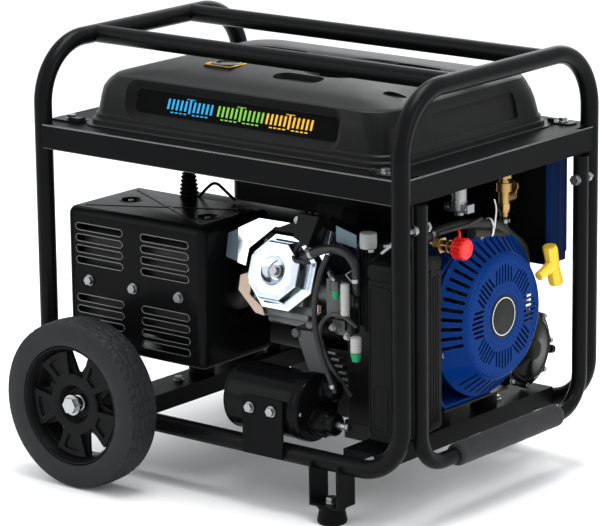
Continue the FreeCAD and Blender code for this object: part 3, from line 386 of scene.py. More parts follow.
GREY = (0.16, 0.16, 0.165)
STEEL = (0.45, 0.46, 0.48)
BLACK = (0.0040, 0.0041, 0.0045)
CALM = {"vary": 0.05, "rough_vary": 0.025, "patch": 5.0}
LOOKS = {
    "frame_black": black("frame_black", 0.9, 0.30, bump=0.07, grain=1400, edge=0.12, shine=0.058),
    "sheet_black": black("sheet_black", 1, 0.40, bump=0.08, grain=1400, edge=0.15, shine=0.035, soften=0.7),
    "guard_black": black("guard_black", 0.9, 0.24, bump=0.04, grain=600, worn=STEEL, edge=0.10,
                         shine=0.045),
    "tank_black": black("tank_black", 0.75, 0.36, bump=0.08, grain=1600, edge=0.06, shine=0.08, sheen=0.07),
    "blue_enamel": finish("blue_enamel", (0.0012, 0.026, 0.150), 0.24, bump=0.04, grain=500,
                          worn=(0.12, 0.22, 0.5), edge=0.22, shine=0.02, coat=0.03, coat_rough=0.05,
                          **CALM),
    "bare_aluminium": finish("bare_aluminium", (0.30, 0.31, 0.315), 0.42, metal=1.0, bump=0.45,
                             grain=520, depth=0.35, vary=0.16, worn=(0.8, 0.8, 0.82), soften=0.8),
    "bright_cover": finish("bright_cover", (0.72, 0.80, 0.88), 0.20, metal=1.0, bump=0.06, grain=300,
                           vary=0.04, rough_vary=0.06, worn=(0.95, 0.95, 0.97), edge=0.3),
    "steel": finish("steel", (0.36, 0.37, 0.38), 0.32, metal=1.0, bump=0.15, grain=260, vary=0.15,
                    stretch=(1, 1, 8), worn=(0.8, 0.8, 0.8), soften=0.5),
    "zinc": finish("zinc", (0.27, 0.275, 0.28), 0.32, metal=1.0, bump=0.12, grain=900, vary=0.15,
                   worn=(0.9, 0.9, 0.9), soften=0.3),
    "iron": finish("iron", (0.035, 0.033, 0.032), 0.55, metal=0.7, bump=0.5, grain=700, depth=0.4),
    "brass": finish("brass", (0.42, 0.27, 0.10), 0.32, metal=1.0, bump=0.12, grain=800, vary=0.18,
                    worn=(0.85, 0.7, 0.4), soften=0.4),
    "black_plastic": black("black_plastic", 1, 0.40, bump=0.14, grain=1500, shine=0.06, edge=0.10,
                           soften=0.6),
    "gloss_plastic": black("gloss_plastic", 0.8, 0.20, bump=0.04, grain=350, shine=0.06, edge=0.08),
    "wheel_plastic": black("wheel_plastic", 1.1, 0.40, bump=0.14, grain=1300, shine=0.06, edge=0.15),
    "tyre_rubber": finish("tyre_rubber", shade(BLACK, 3.9), 0.55, bump=0.25, grain=1100, depth=0.3,
                          shine=0.12, worn=(0.12, 0.12, 0.12), edge=0.25, vary=0.12, rough_vary=0.04),
    "rubber": finish("rubber", shade(BLACK, 0.5), 0.50, bump=0.2, grain=900, shine=0.05),
    "foam": finish("foam", (0.020, 0.020, 0.021), 0.90, bump=0.7, cells=420.0, depth=0.6, shine=0.12,
                   vary=0.20, sheen=0.10),
    "hose_rubber": finish("hose_rubber", shade(BLACK, 3.2), 0.36, bump=0.12, grain=900, shine=0.26,
                          vary=0.08),
    "yellow": finish("yellow", (1.0, 0.62, 0.045), 0.36, bump=0.10, grain=1100, vary=0.05,
                     worn=(0.95, 0.75, 0.3), edge=0.2, shine=0.35),
    "red": finish("red", (0.86, 0.012, 0.010), 0.32, bump=0.08, grain=1100, vary=0.06,
                  worn=(0.9, 0.3, 0.25), edge=0.2, shine=0.4),
    "panel_face": finish("panel_face", (0.0010, 0.014, 0.072), 0.34, bump=0.10, grain=1100, shine=0.015,
                         worn=(0.1, 0.2, 0.4), edge=0.15, soften=0.8, **CALM),
    "outlet_face": finish("outlet_face", shade(BLACK, 3.0), 0.40, bump=0.12, grain=1300, worn=GREY,
                          edge=0.12, soften=0.5, shine=0.15),
    "gauge_face": finish("gauge_face", shade(BLACK, 2.0), 0.25, bump=0.05, grain=800, coat=0.3, shine=0.12),
}
# finishes without a slot of their own
EXTRA = {
    name: finish("print_" + name, colour, 0.42, bump=0.04, grain=1600, vary=0.04, shine=0.2)
    for name, colour in {
        "blue": (0.01, 0.36, 0.72), "green": (0.20, 0.55, 0.05), "amber": (0.88, 0.48, 0.02),
        # dark is print on the recoil badge, and painted shade on the outlets' slots, the crankcase and the
        # blocks beside the engine
        "white": (0.80, 0.80, 0.80), "dark": shade(BLACK, 0.8), "clear_green": (0.01, 0.24, 0.08),
        "milky": (0.36, 0.38, 0.36), "sand": (0.50, 0.38, 0.30), "copper": (0.12, 0.05, 0.03),
        "pale_cap": (0.27, 0.28, 0.27), "grey_hose": (0.045, 0.042, 0.040),
        "tin_blue": (0.10, 0.14, 0.17), "leg_grey": (0.16, 0.17, 0.17),
        "dark_hose": (0.022, 0.021, 0.020),
    }.items()
}
EXTRA["rim_gloss"] = finish("rim_gloss", shade(BLACK, 2.0), 0.20, bump=0.02, grain=400, shine=0.9,
                            vary=0.03, rough_vary=0.03, coat=0.4, coat_rough=0.10)
EXTRA["label_black"] = finish("label_black", shade(BLACK, 0.7), 0.60, bump=0.03, grain=1200, shine=0.02,
                              vary=0.05)
EXTRA["cast_dark"] = finish("cast_dark", (0.085, 0.092, 0.090), 0.48, metal=0.9, bump=0.4, grain=520,
                            depth=0.35, vary=0.15, worn=(0.5, 0.5, 0.5))

# CAD nodes that show take the same finishes; the carburettor, cylinder and head take a darker cast finish
# than their slot, and the crankcase a near black that is painted shade
for cad_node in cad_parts.values():
    for holder in cad_node.material_slots:
        holder.material = LOOKS.get(holder.material.name.split(".")[0], holder.material)
# the crankcase's near black is painted shade over its casting
for node_name, look in (("carburettor", "cast_dark"), ("crankcase", "dark"), ("cylinder", "cast_dark"),
                        ("cylinder_head", "cast_dark")):
    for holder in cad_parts[node_name].material_slots:
        holder.material = EXTRA[look]


# ---------------------------------------------------------------- fuel tank

def tank_ring(z, rear, front, half, corner, sides=(30, 22)):
    """A rounded rectangle with evenly divided sides."""
    along, across = sides
    ring = []
    for x0, y0, x1, y1, count, start in (
            (front, -half + corner, front, half - corner, across, 0),
            (front - corner, half, rear + corner, half, along, 90),
            (rear, half - corner, rear, -half + corner, across, 180),
            (rear + corner, -half, front - corner, -half, along, 270)):
        ring += [(x0 + (x1 - x0) * k / count, y0 + (y1 - y0) * k / count, z) for k in range(count)]
        centre_x = x1 - corner * math.cos(math.radians(start))
        centre_y = y1 - corner * math.sin(math.radians(start))
        ring += [(centre_x + corner * math.cos(turn), centre_y + corner * math.sin(turn), z)
                 for turn in (math.radians(start + 9 * k) for k in range(10))]
    return ring


def build_tank():
    low, high = mm_box("fuel_tank")
    # the ears reach past the tank's walls
    rear, front, half = low.x + 65, high.x - 30, high.y - 27
    base, crown = low.z, high.z
    lean = math.radians(12)
    # the frames of the labels' recesses: X along the machine, Z out of the leaning side
    sides = [at(-8, side * (half - 15), base + 49, (0, side * math.cos(lean), math.sin(lean)))
             for side in (-1, 1)]
    # height above the base, then how far the rear, front and long sides step in, and the corner
    steps = [(0, -7, -7, -9, 46), (2.5, -7, -7, -9, 46), (2.6, 0, 0, 0, 40), (10, 0.5, 0.5, 0.8, 40),
             (12.5, 3, 3, 5.0, 41), (19, 3.5, 3.5, 5.6, 41), (21.5, 5.5, 5, 9.4, 41),
             (30, 6.5, 6, 10.4, 43), (48, 9, 10, 12.4, 44), (62, 12, 15, 14.5, 45),
             (66, 14, 17, 16, 46), (74, 20, 20, 18.5, 46), (83, 31, 25, 22, 48), (84.8, 36, 28, 24.5, 50),
             (86, 41, 33, 30, 52), (91, 58, 50, 56, 56), (96, 80, 68, 86, 60), (100, 104, 88, 118, 62),
             (102.2, 132, 112, 146, 60), (103, 165, 150, 168, 50)]
    bm = bmesh.new()
    add_rings(bm, [tank_ring(base + h, rear + a, front - b, half - c, corner)
                   for h, a, b, c, corner in steps], HERE)
    cap_low, cap_high = mm_box("fuel_cap")
    cap_x, cap_y = (cap_low.x + cap_high.x) / 2, (cap_low.y + cap_high.y) / 2
    dish_z = cap_low.z - 6.3
    gauge_low, gauge_high = mm_box("fuel_gauge")

    cutter = bmesh.new()
    # the round dish about the filler, the gauge's seat and the shallow pockets of the roof
    add_lathe(cutter, [(69, dish_z), (72, dish_z + 3), (83, crown - 3), (86, crown), (88, crown + 12)],
              at(cap_x, cap_y, 0), 72)
    add_block(cutter, (gauge_low.x - 0.6, gauge_low.y - 0.6, gauge_low.z),
              (gauge_high.x + 0.6, gauge_high.y + 0.6, crown + 9))
    for x0, y0, x1, y1 in ((cap_x - 77, -126, cap_x + 14, -90), (cap_x + 145, -122, cap_x + 186, -102),
                           (cap_x + 18, 58, cap_x + 118, 76), (cap_x - 280, 50, cap_x - 150, 66)):
        pocket = centred_outline((x1 - x0) / 2, (y1 - y0) / 2, (y1 - y0) / 2 - 0.2)
        add_prism(cutter, pocket, -12, 12, at((x0 + x1) / 2, (y0 + y1) / 2, crown), 1.12)
    # the label recess of both long faces and of the front end
    for face in sides:
        add_rings(cutter, [[(x, y, height) for x, y in rounded_outline(
            -214 - grow, -24 - grow, 214 + grow, 27 + grow, 14 + grow)]
            for height, grow in ((-9.6, -5), (-9, -4), (-1.5, 5), (0.5, 8), (30, 9))], face)
    end = at(front - 11.0, 20, base + 44, (math.cos(lean), 0, math.sin(lean)))
    add_prism(cutter, rounded_outline(-110, -20, 110, 24, 8), -3.5, 30, end, 1.04)
    make("tank_shell", bm, "tank_black", stands_for=("fuel_tank",), cutter=cutter, angle=28,
         bevel=1.6, segments=3)

    label = bmesh.new()
    for face in sides:
        add_prism(label, rounded_outline(-208, -18, 208, 21, 9), -9.3, -8.8, face)
    make("tank_label_panels", label, "label_black")
    # generic bars stand where the real label has lettering
    for colour, centre in (("blue", -93), ("green", 12), ("amber", 112)):
        bars = bmesh.new()
        for face, middle in zip(sides, (centre, -centre)):
            for k in range(11):
                x = middle - 45 + 9 * k
                low_y, high_y = (-6, 11) if k != 5 else (-9, 14)
                add_prism(bars, [(x - 3.4, low_y), (x + 0.8, low_y), (x + 3.4, high_y), (x - 0.8, high_y)],
                          -8.8, -8.4, face)
                if k not in (0, 5, 10):
                    add_block(bars, (x - 4, -11.4, -8.8), (x + 2, -9.4, -8.4), face)
            add_block(bars, (middle - 8, 13.4, -8.8), (middle + 10, 14.6, -8.4), face)
        make("label_bars_" + colour, bars, colour)

    neck = bmesh.new()
    add_ring_lathe(neck, [(30, 0), (46, 0), (46, 5), (44, 6.2), (32, 6.2), (30, 5)],
                   at(cap_x, cap_y, dish_z), 64)
    make("filler_neck", neck, "tank_black", bevel=0.5)
    # each ear is a flat tab with a gusset beside it
    ears = bmesh.new()
    for side in (-1, 1):
        for x, y, long, wide in ((low.x + 31, high.y - 40, 62, 36), (high.x - 22, high.y - 14, 44, 28)):
            place = at(x, side * y, base)
            add_prism(ears, centred_outline(long / 2, wide / 2, 9), 0.1, 3, place)
            inward = 1 if x < 0 else -1
            end = inward * long / 2
            add_prism(ears, [(inward * 8, -wide / 2), (end, -wide / 2), (end, 0)][::inward], 2.5, 9, place)
    make("tank_ears", ears, "tank_black", bevel=0.8)


def build_cap():
    low, high = mm_box("fuel_cap")
    place = at((low.x + high.x) / 2, (low.y + high.y) / 2, low.z)
    bm = bmesh.new()
    height = high.z - low.z
    add_prism(bm, toothed_outline(57.6, 55.6, 120, 5, 3), 0.3, height - 6, place)
    add_lathe(bm, [(56.5, height - 6.2), (54, height - 3.5), (46, height - 2.6), (40, height - 4.6),
                   (20, height - 4.6), (14, height - 3.2), (2, height - 3)], place, 72)
    add_prism(bm, centred_outline(44, 8, 6), height - 5, height - 0.4, place, 0.93)
    for turn in (0.7, 2.4):
        lug = place @ Matrix.Rotation(turn, 4, "Z")
        add_prism(bm, rounded_outline(42, -6, 56, 6, 3), height - 6, height - 0.8, lug, 0.97)
    make("filler_cap", bm, "black_plastic", "fuel_cap", ("fuel_cap",), bevel=0.7)


def build_gauge():
    low, high = mm_box("fuel_gauge")
    middle = (low + high) / 2
    place = at(middle.x, middle.y, low.z)
    height = high.z - low.z
    bm = bmesh.new()
    add_ring_lathe(bm, [(18, 3), (27, 3), (27, height - 0.6), (24, height), (19.5, height)], place)
    add_prism(bm, centred_outline(28.6, 28.6, 5), 0, height - 2.6, place)
    make("gauge_body", bm, "gauge_face", stands_for=("fuel_gauge",), bevel=0.4)
    border = bmesh.new()
    add_bead(border, centred_outline(27, 27, 5), 0.9, place, height - 2.5)
    make("gauge_border", border, "amber")
    rim = bmesh.new()
    add_bead(rim, centred_outline(25, 25, 4), 0.5, place, height - 2.6)
    add_block(rim, (-1, 2, height - 3.4), (1, 15, height - 3.0), place)
    for k in range(5):
        tick = turned(place, 40 - 20 * k)
        add_block(rim, (-0.6, 13, height - 3.6), (0.6, 17, height - 3.2), tick)
    make("gauge_marks", rim, "white")


build_tank()
build_cap()
build_gauge()


# ---------------------------------------------------------------- exhaust guard

def build_guard():
    low, high = mm_box("muffler_guard")
    bm = bmesh.new()
    corner, sheet = 14.0, 2.0
    # a box of sheet, open towards the engine
    add_block(bm, low, high)
    back = [f for f in bm.faces if all(abs(v.co.y - high.y * MM) < 1e-6 for v in f.verts)]
    bmesh.ops.delete(bm, geom=back, context="FACES")
    edges = [e for e in bm.edges if not e.is_boundary]
    bmesh.ops.bevel(bm, geom=edges, offset=corner * MM, segments=6, profile=0.5, affect="EDGES")
    bmesh.ops.solidify(bm, geom=bm.faces[:], thickness=sheet * MM)
    cutter = bmesh.new()
    lips = bmesh.new()
    long, tall = 101.0, 10.5
    rows = [high.z - 37 - 19 * k + tall / 2 for k in range(4)]
    rows += [high.z - 158 - 19.7 * k + tall / 2 for k in range(4)]
    for x in (low.x + 22 + long / 2, low.x + 164 + long / 2):
        for z in rows:
            place = at(x, low.y, z, -Y)
            add_prism(cutter, slot_outline(long, tall), -8, 8, place)
            add_bead(lips, slot_outline(long + 1.6, tall + 1.6), 1.25, place, 0.2, 8)
    middle_y = (low.y + high.y) / 2
    dishes = ((low.x + 62, middle_y + 8), (high.x - 50, middle_y - 12))
    for x, y in dishes:
        add_lathe(cutter, [(18, -10), (18, 10)], at(x, y, high.z), 40)
    add_lathe(cutter, [(23, -12), (23, 12)], at(low.x, -150, 372, -X), 40)
    add_lathe(cutter, [(34, -12), (34, 12)], at(high.x, -150, 300, X), 48)
    make("guard_shell", bm, "guard_black", stands_for=("muffler_guard",), cutter=cutter, angle=40)
    make("guard_slot_lips", lips, "rim_gloss", angle=60)
    cups = bmesh.new()
    bolts = bmesh.new()
    for x, y in dishes:
        add_ring_lathe(cups, [(20, 0.4), (18.5, 1.0), (16.5, 0.2), (13, -5.6), (5, -5.8), (5, -7),
                              (14, -7), (18, -1)], at(x, y, high.z), 40)
        add_bolt(bolts, (x, y, high.z - 5.7), Z, 9, 4, 7)
    # pressed creases cross on the roof
    x0, x1, y0, y1 = low.x + 24, high.x - 22, low.y + 22, high.y - 14
    for start, end in (((x0, y0), (x1, y1)), ((x0, y1), (x1, y0)), ((x1, y0), (x1, y1))):
        run = Vector((*end, 0)) - Vector((*start, 0))
        add_block(cups, (0, -3.2, -0.5), (run.length, 3.2, 1), at(*start, high.z, Z, run))
    make("guard_roof_pressings", cups, "guard_black", bevel=0.9, segments=3)
    make("guard_roof_bolts", bolts, "zinc", bevel=0.2)


def build_rail_rims():
    low, high = mm_box("tank_rails")
    z = high.z - 0.6
    rims = bmesh.new()
    for y in (low.y + 0.8, high.y - 0.8):
        add_tube(rims, [(low.x + 14, y, z), (high.x - 14, y, z)], 1.5, 10)
        add_tube(rims, [(low.x + 14, y, low.z + 0.8), (high.x - 14, y, low.z + 0.8)], 0.9, 8)
    for x in (low.x + 0.8, high.x - 0.8):
        add_tube(rims, [(x, low.y + 20, z), (x, high.y - 20, z)], 1.5, 10)
    make("rail_rims", rims, "rim_gloss")


build_guard()
build_rail_rims()


# ---------------------------------------------------------------- wheels

def tread_depth(turn, across, width, seeds):
    """How far the tread is cut in at an angle and a height across the tyre."""
    rows, cells = len(seeds), len(seeds[0])
    v = across / width * rows
    u = turn / (2 * math.pi) * cells
    nearest = [9.0, 9.0]
    for row in range(int(v) - 1, int(v) + 2):
        for column in range(int(u) - 1, int(u) + 2):
            if 0 <= row < rows:
                du, dv = seeds[row][column % cells]
                gap = math.hypot((column + du - u) * 1.35, row + dv - v)
                nearest = sorted(nearest + [gap])[:2]
    groove = max(0.0, 1 - (nearest[1] - nearest[0]) / 0.20)
    notch = 0.5 + 0.5 * math.cos(turn * 54 + 0.6 * math.sin(turn * 7))
    edge = max(0.0, 1 - min(across, width - across) / 9.0)
    return 1.9 * min(1, groove) ** 0.8 + 2.6 * edge * notch


def build_wheel(side_name, side):
    low, high = mm_box(side_name + "_tyre")
    hub_low, hub_high = mm_box(side_name + "_wheel_hub")
    width = high.y - low.y
    radius = (high.z - low.z) / 2
    place = at((low.x + high.x) / 2, low.y if side > 0 else high.y, (low.z + high.z) / 2, (0, side, 0))
    body = side_name + "_wheel"
    rim = (hub_high.z - hub_low.z) / 2

    random.seed(5 + side)
    seeds = [[(random.uniform(0.15, 0.85), random.uniform(0.15, 0.85)) for _ in range(30)]
             for _ in range(4)]
    bm = bmesh.new()
    steps = 432
    shoulder = 6.0
    tread = width - 2 * shoulder
    rows = [(rim + 1, 3.5), (rim + 1.6, 1.6), (rim + 6, 0.4), (118, 0), (radius - 8, 1.2),
            (radius - 3.2, 3.0)]
    rings = [circle(r, h, steps) for r, h in rows]
    for k in range(27):
        across = tread * k / 26
        crown = 1.6 * (2 * across / tread - 1) ** 2
        ring = []
        for i in range(steps):
            turn = 2 * math.pi * i / steps
            r = radius - crown - tread_depth(turn, across, tread, seeds)
            ring.append((r * math.cos(turn), r * math.sin(turn), shoulder + across))
        rings.append(ring)
    rings += [circle(r, width - h, steps) for r, h in reversed(rows)]
    add_rings(bm, rings, place, ends="open")
    # the tyre's seat closes it against the rim
    bmesh.ops.bridge_loops(bm, edges=[e for e in bm.edges if e.is_boundary])
    make(side_name + "_tyre_tread", bm, "tyre_rubber", body, (side_name + "_tyre",), angle=50)

    hub = bmesh.new()
    out = width - 3
    add_ring_lathe(hub, [(rim, out - 1.2), (rim - 1, out), (rim - 2.6, out), (rim - 4.6, out - 2.5),
                         (rim - 9, out - 13.5), (rim - 9.6, out - 18), (rim - 10, 20), (rim - 8, 6),
                         (rim - 3, 3), (rim - 0.6, 3), (rim, 4)], place, 120)
    deck = out - 20
    add_ring_lathe(hub, [(8.06, 4), (42, 4), (44, deck - 6), (rim - 9, deck - 6), (rim - 9, deck),
                         (51, deck + 1), (51, deck + 8), (49, deck + 9.5), (34, deck + 9.5),
                         (32.5, deck + 9), (24, deck - 3), (21, deck - 3), (21, deck - 6),
                         (8.06, deck - 6)], place, 120)
    # five broad spokes, each with a pocket, and five windows between them
    spoke = [(46, -16), (84, -31.5), (87.5, -16), (88.4, 0), (87.5, 16), (84, 31.5), (46, 16)]
    pocket = [(53, -9), (76, -17.5), (79, -12), (80, 0), (79, 12), (76, 17.5), (53, 9)]
    arc = [math.radians(-15 + 5 * i) for i in range(7)]
    window = [(53, -3), (56, -6), *[(88.6 * math.cos(a), 88.6 * math.sin(a)) for a in arc], (56, 6),
              (53, 3)]
    cutter = bmesh.new()
    for k in range(5):
        add_prism(cutter, window, -20, 90, turned(place, 84 + 72 * k))
        spin = turned(place, 120 + 72 * k)
        add_prism(hub, spoke, deck - 4, deck + 9.2, spin, 0.985)
        add_prism(cutter, pocket, deck + 5.4, deck + 30, spin)
    make(side_name + "_hub_moulding", hub, "wheel_plastic", body, (side_name + "_wheel_hub",),
         cutter=cutter, bevel=1.0, angle=30)


build_wheel("near", -1)
build_wheel("far", 1)

# ---------------------------------------------------------------- recoil starter and blower

CRANK_Y = sum(p.y for p in mm_box("recoil_cover")) / 2
CRANK_Z = sum(p.z for p in mm_box("recoil_cover")) / 2


def build_recoil_cover():
    low, high = mm_box("recoil_cover")
    base_radius = (high.z - low.z) / 2
    # the cover's back edge is where the blower housing ends
    back = mm_box("fan_housing")[1].x + 0.5
    depth = high.x - back
    face_radius = base_radius - 36
    place = at(back, CRANK_Y, CRANK_Z, X)
    bm = bmesh.new()
    add_ring_lathe(bm, [(base_radius, 0), (base_radius, 3.2), (base_radius - 4, 6),
                        (face_radius + 3, depth - 4.5), (face_radius - 1, depth - 0.8),
                        (face_radius - 5, depth), (41, depth), (40, depth - 1.2), (3, depth - 1.2),
                        (3, depth - 4), (face_radius - 6, depth - 3.4), (face_radius - 1, depth - 7),
                        (base_radius - 8, 3.2), (base_radius - 3.5, 0)], place, 144)
    cutter = bmesh.new()
    wall = math.atan2(depth - 10, base_radius - face_radius - 7)
    for k in range(48):
        turn = 360 / 48 * k
        if not (196 < turn < 232 or 20 < turn < 42):
            spot = moved(turned(place, turn), (base_radius + face_radius) / 2 - 1, 0, depth / 2 + 0.5)
            add_prism(cutter, slot_outline(37, 6.4, 4), -7, 7, spot @ Matrix.Rotation(wall, 4, "Y"))
    for sector in range(8):
        spin = turned(place, 45 * sector)
        for k in range(6):
            step = k - 2.5
            offset = 8.0 * step
            inner = math.sqrt(54 ** 2 - offset ** 2) + 1.5 * abs(step)
            outer = math.sqrt(88 ** 2 - offset ** 2) - 2.2 * abs(step)
            length = outer - inner
            slot = [(x + inner + length / 2, y + offset) for x, y in slot_outline(length, 4.6, 3)]
            add_prism(cutter, slot, depth - 9, depth + 5, spin)
    for ring_radius, count in ((48.5, 48), (93.0, 72)):
        for k in range(count):
            spin = place @ Matrix.Rotation(2 * math.pi * (k + 0.5) / count, 4, "Z")
            add_block(cutter, (ring_radius - 1.1, -1.1, depth - 1.4), (ring_radius + 1.1, 1.1, depth + 3),
                      spin)
    make("recoil_cover_shell", bm, "blue_enamel", stands_for=("recoil_cover",), cutter=cutter, angle=36)
    badge = bmesh.new()
    add_lathe(badge, [(35.5, depth - 1.3), (35.5, depth - 0.5), (34.5, depth - 0.1), (2, depth - 0.05)],
              place, 72)
    make("plain_badge", badge, "dark")
    ring = bmesh.new()
    add_ring_lathe(ring, [(30, depth - 0.2), (31.2, depth - 0.2), (31.2, depth + 0.1), (30, depth + 0.1)],
                   place, 72)
    make("badge_ring", ring, "white")
    post = bmesh.new()
    add_lathe(post, [(8.9, 284 - back), (8.9, depth - 3.6)], place, 32)
    make("recoil_post", post, "steel")


def build_blower():
    low, high = mm_box("fan_housing")
    radius = high.z - CRANK_Z
    place = at(low.x, high.y - radius, CRANK_Z, X)
    width = high.x - low.x
    bm = bmesh.new()
    turns = [math.radians(-30 + 4 * k) for k in range(61)]
    outline = [(radius * math.cos(turn), radius * math.sin(turn)) for turn in turns]
    foot = low.z - CRANK_Z
    outline += [(-92, foot + 40), (-84, foot + 10), (-74, foot), (50, foot), (60, foot + 10),
                (72, foot + 40)]
    add_rings(bm, [[(x * s, y * s, h) for x, y in outline]
                   for s, h in ((1, 0), (1, width), (0.965, width), (0.965, 3))], place)
    # four stiffening ribs run round the scroll
    for depth in (16, 32, 48, 64):
        add_rings(bm, [[(x * s, y * s, depth + d) for x, y in outline]
                       for s, d in ((0.999, -3), (1.010, -1), (1.010, 1), (0.999, 3))], place, "open")
    make("blower_shell", bm, "blue_enamel", stands_for=("fan_housing",), angle=40, bevel=0.6)
    bolts = bmesh.new()
    flange = at(mm_box("recoil_cover")[0].x + 18, CRANK_Y, CRANK_Z, X)
    add_round_bolts(bolts, (97, 20, 200, 300), 127, flange, 10, 4.5, 7.5)
    make("recoil_cover_bolts", bolts, "zinc", bevel=0.3)


# ---------------------------------------------------------------- cylinder head and cowl

BORE_X = sum(p.x for p in mm_box("rocker_cover")) / 2
LEAN = math.radians(19)
STROKE = Vector((0, -math.cos(LEAN), math.sin(LEAN)))
# local X runs along the crankshaft, local Y up across the bore, local Z out along the cylinder
bore = at(BORE_X, CRANK_Y, CRANK_Z, STROKE, X)
HEAD_END = 257.8


def on_bore(x, across, along):
    """A point of the cylinder's own frame, in row millimetres."""
    return (bore @ Vector((x, across, along))) / MM


def build_head():
    bm = bmesh.new()
    add_rings(bm, [[(x, y * 0.93, HEAD_END + h) for x, y in polygon(r, 8, math.pi / 8)] for r, h in (
        (68.5, 0.3), (69.5, 1), (69.5, 3.4), (68.5, 4.4), (60.5, 4.8), (58.5, 6), (54.5, 23), (53.8, 26),
        (52.2, 28.2), (50, 29))], bore)
    cutter = bmesh.new()
    add_lathe(cutter, [(11, 275), (14, 275.4), (15.5, 277.2), (20, 280.6), (23, 284), (24.6, 287),
                       (24.6, 291)], bore, 48)
    make("rocker_cover_pressing", bm, "bright_cover", stands_for=("rocker_cover",), cutter=cutter,
         angle=24, bevel=0.9, segments=3)
    bolts = bmesh.new()
    add_bolt(bolts, on_bore(30, 52, HEAD_END + 4.2), STROKE, 8, 3, 5.5)
    make("rocker_cover_bolts", bolts, "zinc", bevel=0.3)

    # the air cowl is a thin shell open behind, with an eight-sided opening round the head
    outline = [(-70, -1), (-97, 3), (-109, 58), (-71, 79), (66, 81), (80, 78), (81, 40), (66, -16)]
    shell = bmesh.new()
    add_prism(shell, outline[::-1], 128, 256.6, bore)
    cutter = bmesh.new()
    middle = Vector((-14, 32))
    inside = [tuple(middle + (Vector(p) - middle) * 0.975) for p in outline]
    add_prism(cutter, inside[::-1], 120, 255, bore)
    add_prism(cutter, [(x - 4, y * 0.93) for x, y in polygon(82, 8, math.pi / 8)], 100, 300, bore)
    make("cowl_shell", shell, "bright_cover", stands_for=("cylinder_shroud",), cutter=cutter, angle=30)
    trim = bmesh.new()
    fold = [(-97.5, 4), (-109, 57), (-131, 47), (-126, 9)]
    heights = (256.2, 256.2, 253, 253)
    add_rings(trim, [[(x, y, h - t) for (x, y), h in zip(fold, heights)] for t in (0, 1.4)], bore)
    make("cowl_fold", trim, "tin_blue", bevel=0.4)
    strip = bmesh.new()
    add_prism(strip, [(58, 36), (81, 48), (80, 78), (62, 80)], 256.8, 262, bore)
    make("cowl_strip", strip, "bright_cover", bevel=0.4)
    packing = bmesh.new()
    add_prism(packing, [(-62, -6), (-86, -16), (-84, -40), (-41, -71), (-22, -73), (-30, -60), (-60, -44)],
              HEAD_END - 3, HEAD_END - 0.4, bore)
    add_prism(packing, [(60, -42), (72, -40), (74, -52), (62, -60)], HEAD_END - 20, HEAD_END - 12, bore)
    make("cowl_packing", packing, "sand", bevel=0.5)

    # the exhaust and inlet faces below the head, with the low fins under it
    casting = bmesh.new()
    add_prism(casting, [(-38, -62), (46, -60), (50, -70), (30, -80), (-20, -78)], 196, 236, bore)
    add_lathe(casting, [(9, 190), (9, 236), (7.5, 239), (4, 239)], moved(bore, 56, -72, 0), 28)
    add_lathe(casting, [(6, 190), (6, 234), (3, 235)], moved(bore, -26, -74, 0), 24)
    make("head_casting", casting, "cast_dark", bevel=1.1)
    fins = bmesh.new()
    for k in range(6):
        fin = rounded_outline(3 * k - 54, -69 - k, 60 - 3 * k, -60, 4)
        add_prism(fins, fin, 249 - 8 * k, 250.6 - 8 * k, bore)
    make("head_low_fins", fins, "cast_dark", bevel=0.4)
    # a leg of the crankcase runs down to its flange in front of the sump
    leg = bmesh.new()
    add_prism(leg, [(47, 259), (92, 263), (112, 204), (106, 190), (79, 185), (61, 226)], 112, 124,
              at(0, 0, 0, -Y, X))
    add_lathe(leg, [(8, 112), (8, 128), (6, 130), (3, 130)], at(51, 0, 255, -Y), 24)
    add_block(leg, (73, -128, 179), (112, -108, 194))
    make("crankcase_leg", leg, "leg_grey", bevel=1.5)


def build_ignition():
    coil = bmesh.new()
    for outline, low, high in (([(31, 57), (64, 46), (75, 97), (32, 97)], 264, 292),
                               ([(10, 78), (32, 78), (32, 94), (12, 94), (6, 86)], 262, 268),
                               ([(-40, 63), (8, 64), (26, 58), (26, 80), (6, 84)], 257, 263)):
        add_prism(coil, outline, low, high, bore)
    for k in range(3):
        add_block(coil, (34 + 13 * k, 98, 267), (43 + 13 * k, 103, 289), bore)
    make("ignition_coil", coil, "gloss_plastic", bevel=1.6, segments=3)
    cable = bmesh.new()
    add_tube(cable, smooth_path([on_bore(*p) for p in (
        (42, 58, 274), (32, 46, 276), (30, 30, 282), (42, 20, 286), (56, 24, 284), (60, 30, 279))]), 4.2)
    make("plug_lead", cable, "hose_rubber")
    eye = bmesh.new()
    add_ring_lathe(eye, [(3.4, 262.5), (8, 262.5), (8, 264), (3.4, 264)],
                   moved(bore, 44, 40, 0), 28)
    add_bolt(eye, on_bore(18, 86, 267.5), STROKE, 12, 5, 8)
    add_bolt(eye, on_bore(44, 40, 264), STROKE, 7, 2.5, 4.5)
    make("ignition_bolts", eye, "zinc", bevel=0.3)


# ---------------------------------------------------------------- hoses

# the middle lines of the moulded hoses, each from the end it leaves to the end it feeds
BREATHER = [(140, -206, 411), (153, -208, 419), (178, -210, 430), (206, -211, 434), (229, -212, 429),
            (241, -210, 412), (240, -208, 396), (238, -206, 380), (234, -198, 366)]
VENT = [(194, -222, 424), (183, -226, 398), (176, -229, 366), (173, -231, 332), (177, -233, 302),
        (188, -235, 270), (200, -233, 238), (210, -226, 205)]
TAP_X, TAP_Y = 290, 118
FUEL = [(TAP_X, TAP_Y, 436), (TAP_X, TAP_Y, 416), (291, 150, 394), (291, 176, 376),
        (286, 190, 340), (280, 190, 300), (278, 188, 266)]
BOWL_LOOP = [(194, -165, 182), (184, -180, 210), (174, -195, 238), (167, -208, 274), (172, -217, 304),
             (188, -219, 324), (206, -219, 332), (226, -216, 327), (238, -206, 312)]
GAS = [(286, -96, 440), (290, -60, 446), (296, -20, 448), (300, 20, 444), (300, 64, 434)]


def add_hose(bm, points, radius, steps=10, **options):
    add_tube(bm, smooth_path([Vector(p) for p in points], steps), radius, 16, **options)


